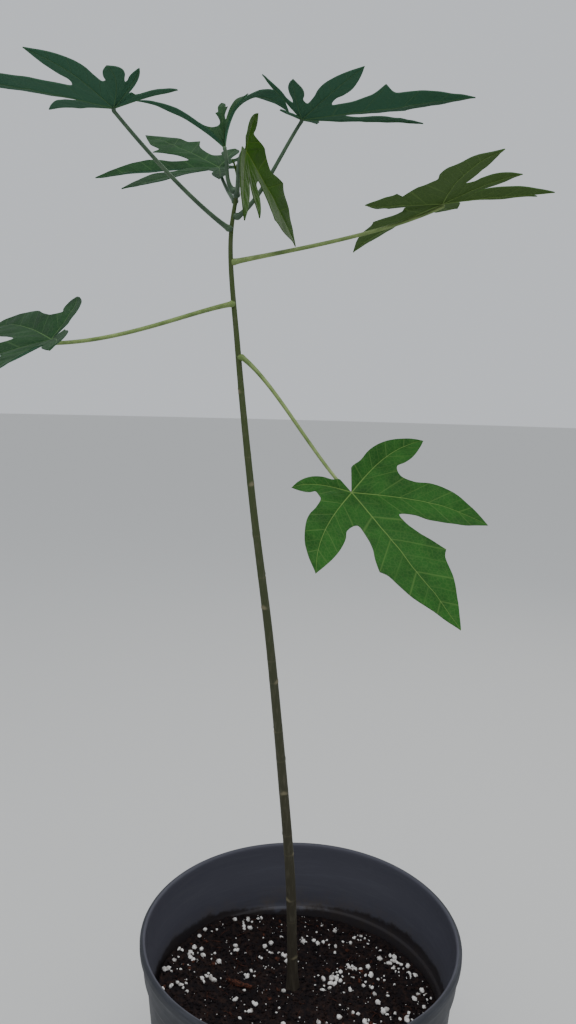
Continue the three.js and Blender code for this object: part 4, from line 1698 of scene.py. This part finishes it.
@dataclass
class Leaf:
    """One whole leaf: where its stalk leaves the stem, and its blade."""

    node: float
    blade: Blade
    arch: float
    age: AgeAndShade
    fresh_from: float = 815.0
    seed_step: float = 3.1

    @property
    def stalk_finish(self) -> WaxyStalk:
        """The stalk's look: nearest the tip it is a deeper green, with less bloom."""
        fresh = WaxyStalk("waxy_stalk_fresh", "#3d5340", "#566d53")
        return fresh if self.node > self.fresh_from else WaxyStalk()

    def build(self, number: int, stem: Stem) -> list[Object]:
        """Builds the stalk and the blade.

        Args:
            number: the leaf's number from the lowest up.
            stem: the stem that bears it.

        Returns:
            Both pieces.
        """
        name = f"leaf_{number}"
        self.blade.seed = self.seed_step * number
        stalk = Stalk(stem, self.node, self.blade, self.arch, finish=self.stalk_finish)
        stalk_piece = stalk.build(f"{name}_petiole", [f"{name}_stalk"])
        blade = self.blade.build(f"{name}_lamina", self.age.value, "leaf_blade", [f"{name}_blade"])
        return [stalk_piece, blade]


def lobes(*rows: tuple) -> tuple[Lobe, ...]:
    """Makes a leaf's lobes from turn, length, and where they differ lift and droop."""
    return tuple(Lobe(*row) for row in rows)


# The leaves from the lowest up. Each has its height on the stem, its blade, its stalk's arch and its age,
# whose fresh and tender greens hold painted shade.
# A blade has the place where the stalk meets it, its heading, pitch, roll, cup and droop, its lobes from
# the right to the left, its kind, and which of the lobes are toothed.
LEAVES = (
    Leaf(739, Blade((22, -118, 649), -45, -46, 16, 11, 4,
                    lobes((-104, 48), (-52, 86), (0, 120), (50, 95), (104, 74)),
                    Outline.BROAD, (2,)), 2, AgeAndShade.GROWN),
    Leaf(775, Blade((-156, -199, 740), 175, -24, -25, 10, 9,
                    lobes((-105, 49), (-50, 81), (0, 91), (50, 80), (104, 52)),
                    Outline.BROAD, (2,)), 0, AgeAndShade.FRESH),
    Leaf(802, Blade((79, -88, 845), -8, 11, -2, 3, 10,
                    lobes((-141, 66, -2), (-68, 88, 3), (-32, 58), (2, 74, -5), (40, 95, 6), (76, 60, 9),
                          (143, 84, -5)),
                    Outline.BROAD, (0, 4, 6)), 0, AgeAndShade.GROWN),
    Leaf(823, Blade((-127, -170, 874), 181, -9, -5, 17, 9,
                    lobes((-140, 49), (-80, 42), (-44, 66), (-4, 88, 5), (56, 64, 5), (98, 43, -2),
                          (134, 32, 7)),
                    Outline.BROAD), 0, AgeAndShade.FRESH),
    Leaf(831, Blade((-18, -112, 889), -14, -16, 2, 12, 2,
                    lobes((-128, 39, 8), (-86, 48), (-49, 71, 9), (-7, 110, 6), (40, 91, 7), (94, 46),
                          (133, 39)),
                    Outline.CUT, (3,)), 0, AgeAndShade.FRESH),
    Leaf(840, Blade((-77, -48, 875), 175, -4, -28, 6, 8,
                    lobes((-134, 34), (-96, 56, -3), (-45, 93, 6), (0, 92, -3), (46, 83), (98, 49),
                          (136, 36)),
                    Outline.CUT, (2,)), 0, AgeAndShade.FRESH),
    Leaf(846, Blade((-68, -108, 872), 100, 0, -6, 80, 120,
                    lobes((-112, 36), (-50, 90), (-8, 49), (78, 64, -34, 45)),
                    Outline.CUT, (2,)), 0, AgeAndShade.FRESH),
    Leaf(844, Blade((-52, -142, 860), 62, -48, 79, 9, 7,
                    lobes((-73, 58), (-44, 42), (7, 74), (108, 31)),
                    Outline.BROAD, (2,)), 3, AgeAndShade.TENDER),
)


@dataclass
class ShootTip:
    """The growing tip: a bud with the first leaflets still folded up like closed umbrellas."""

    stem: Stem
    bud_height: float = 15.0
    bud_radius: float = 1.7
    leaflets: int = 3
    leaflet_length: float = 15.0
    leaflet_lobes: tuple = ((-96, 0.55), (-48, 0.8), (0, 1.0), (48, 0.8), (96, 0.55))
    rise: float = 2.5
    leaflet_step: float = 1.5
    leaflet_shrink: float = 1.8
    standoff: float = 1.6

    def build(self) -> list[Object]:
        """Builds the bud and its folded leaflets.

        Returns:
            The pieces.
        """
        tip, growth = self.stem.at(1.0)
        share = np.linspace(0, 1, 26)
        bow = np.sin(math.pi * share)[:, None] * np.array([0.5, -0.3, 0])
        line = tip + growth * (share[:, None] * (self.bud_height + 1) - 1) + bow
        girth = self.bud_radius * (1 - share) ** 0.7 + 0.25
        bud = limb_mesh(line, girth, 16)
        made = [mesh_piece("shoot_bud", bud, WaxyStalk(), ["shoot_tip"])]
        for i in range(self.leaflets):
            turn = 360 * (i + 0.4) / self.leaflets
            joint = tip + growth * (self.rise + self.leaflet_step * i) + toward(turn) * self.standoff
            length = self.leaflet_length - self.leaflet_shrink * i
            rows = lobes(*[(angle, share * length) for angle, share in self.leaflet_lobes])
            blade = Blade(tuple(joint), turn, 8, 0, 70, 60, rows, thickness=0.35, step=0.8,
                          ripple_height=0.15, rib_height=0.12, inner_rows=3, seed=40.0 + i)
            name = f"shoot_leaflet_{i + 1}"
            made.append(blade.build(name, AgeAndShade.TENDER.value, "young_growth", ["shoot_tip"]))
        return made


@dataclass
class Studio:
    """A pale floor, soft lights and the camera at the photo's viewing angle."""

    camera_place: tuple[float, float, float] = (-20.58, -668.22, 709.62)
    focal_px: float = 820.0
    frame_height_px: float = 1024.0
    sensor_mm: float = 36.0
    pitch: float = 7.75
    roll: float = 1.48
    floor_radius: float = 30.0
    floor_sides: int = 96
    surround: str = "#e2e6eb"
    surround_strength: float = 0.85
    # Each softbox: its name, its place and the point that it faces in metres, side, watts and tint.
    softboxes: tuple = (("key", (0.0, -0.9, 2.15), (0, -0.05, 0.4), 1.3, 22.0, "#ffffff"),
                        ("back_edge", (1.0, 1.5, 1.7), (0, -0.05, 0.6), 1.0, 5.0, "#fffaf0"))

    def camera(self) -> Object:
        """Creates the camera and makes it the scene's.

        Returns:
            The camera.
        """
        made = bpy.data.cameras.new("camera")
        made.sensor_width = self.sensor_mm
        made.lens = self.focal_px / self.frame_height_px * self.sensor_mm
        made.clip_start, made.clip_end = 0.01, 100.0
        camera = bpy.data.objects.new("camera", made)
        pitch, roll = math.radians(self.pitch), math.radians(self.roll)
        forward = Vector((0, math.cos(pitch), -math.sin(pitch)))
        level, up = Vector((1, 0, 0)), Vector((0, math.sin(pitch), math.cos(pitch)))
        right = math.cos(roll) * level + math.sin(roll) * up
        above = -math.sin(roll) * level + math.cos(roll) * up
        rows = Matrix((right, above, -forward)).transposed().to_4x4()
        camera.matrix_world = Matrix.Translation(Vector(self.camera_place) * MM) @ rows
        bpy.context.scene.collection.objects.link(camera)
        bpy.context.scene.camera = camera
        return camera

    def hang(self, name: str, place: tuple, aim: tuple, size: float, power: float, tint: str) -> None:
        """Hangs a square softbox.

        Args:
            name: the light's name.
            place: where it hangs, in metres.
            aim: the point that it faces, in metres.
            size: its side in metres.
            power: its power in watts.
            tint: its colour as sRGB hex.
        """
        lamp = bpy.data.lights.new(name, "AREA")
        lamp.size, lamp.energy, lamp.color = size, power, linear(tint)[:3]
        light = bpy.data.objects.new(name, lamp)
        light.location = place
        light.rotation_euler = (Vector(aim) - Vector(place)).to_track_quat("-Z", "Y").to_euler()
        bpy.context.scene.collection.objects.link(light)

    def build(self) -> None:
        """Builds the floor, the lights and the pale surround."""
        edge = ring(self.floor_radius, 0, self.floor_sides)
        floor = mesh_object("floor", edge, [range(self.floor_sides)])
        floor.data.materials.append(MattPaper().material())
        world = bpy.data.worlds.new("surround")
        bpy.context.scene.world = world
        world.use_nodes = True
        backdrop = {"Color": linear(self.surround), "Strength": self.surround_strength}
        set_inputs(world.node_tree, world.node_tree.nodes["Background"], backdrop, {})
        for softbox in self.softboxes:
            self.hang(*softbox)


def main() -> None:
    """Builds the studio, the pot, the mix and the plant."""
    logging.basicConfig(level=logging.INFO, format="%(name)s %(message)s")
    studio = Studio()
    studio.camera()
    studio.build()
    pot = NurseryPot()
    pot.build()
    PottingMix(pot).build()
    stem = Stem()
    stem.build()
    for number, leaf in enumerate(LEAVES, start=1):
        leaf.build(number, stem)
    ShootTip(stem).build()


if __name__ == "__main__":
    main()
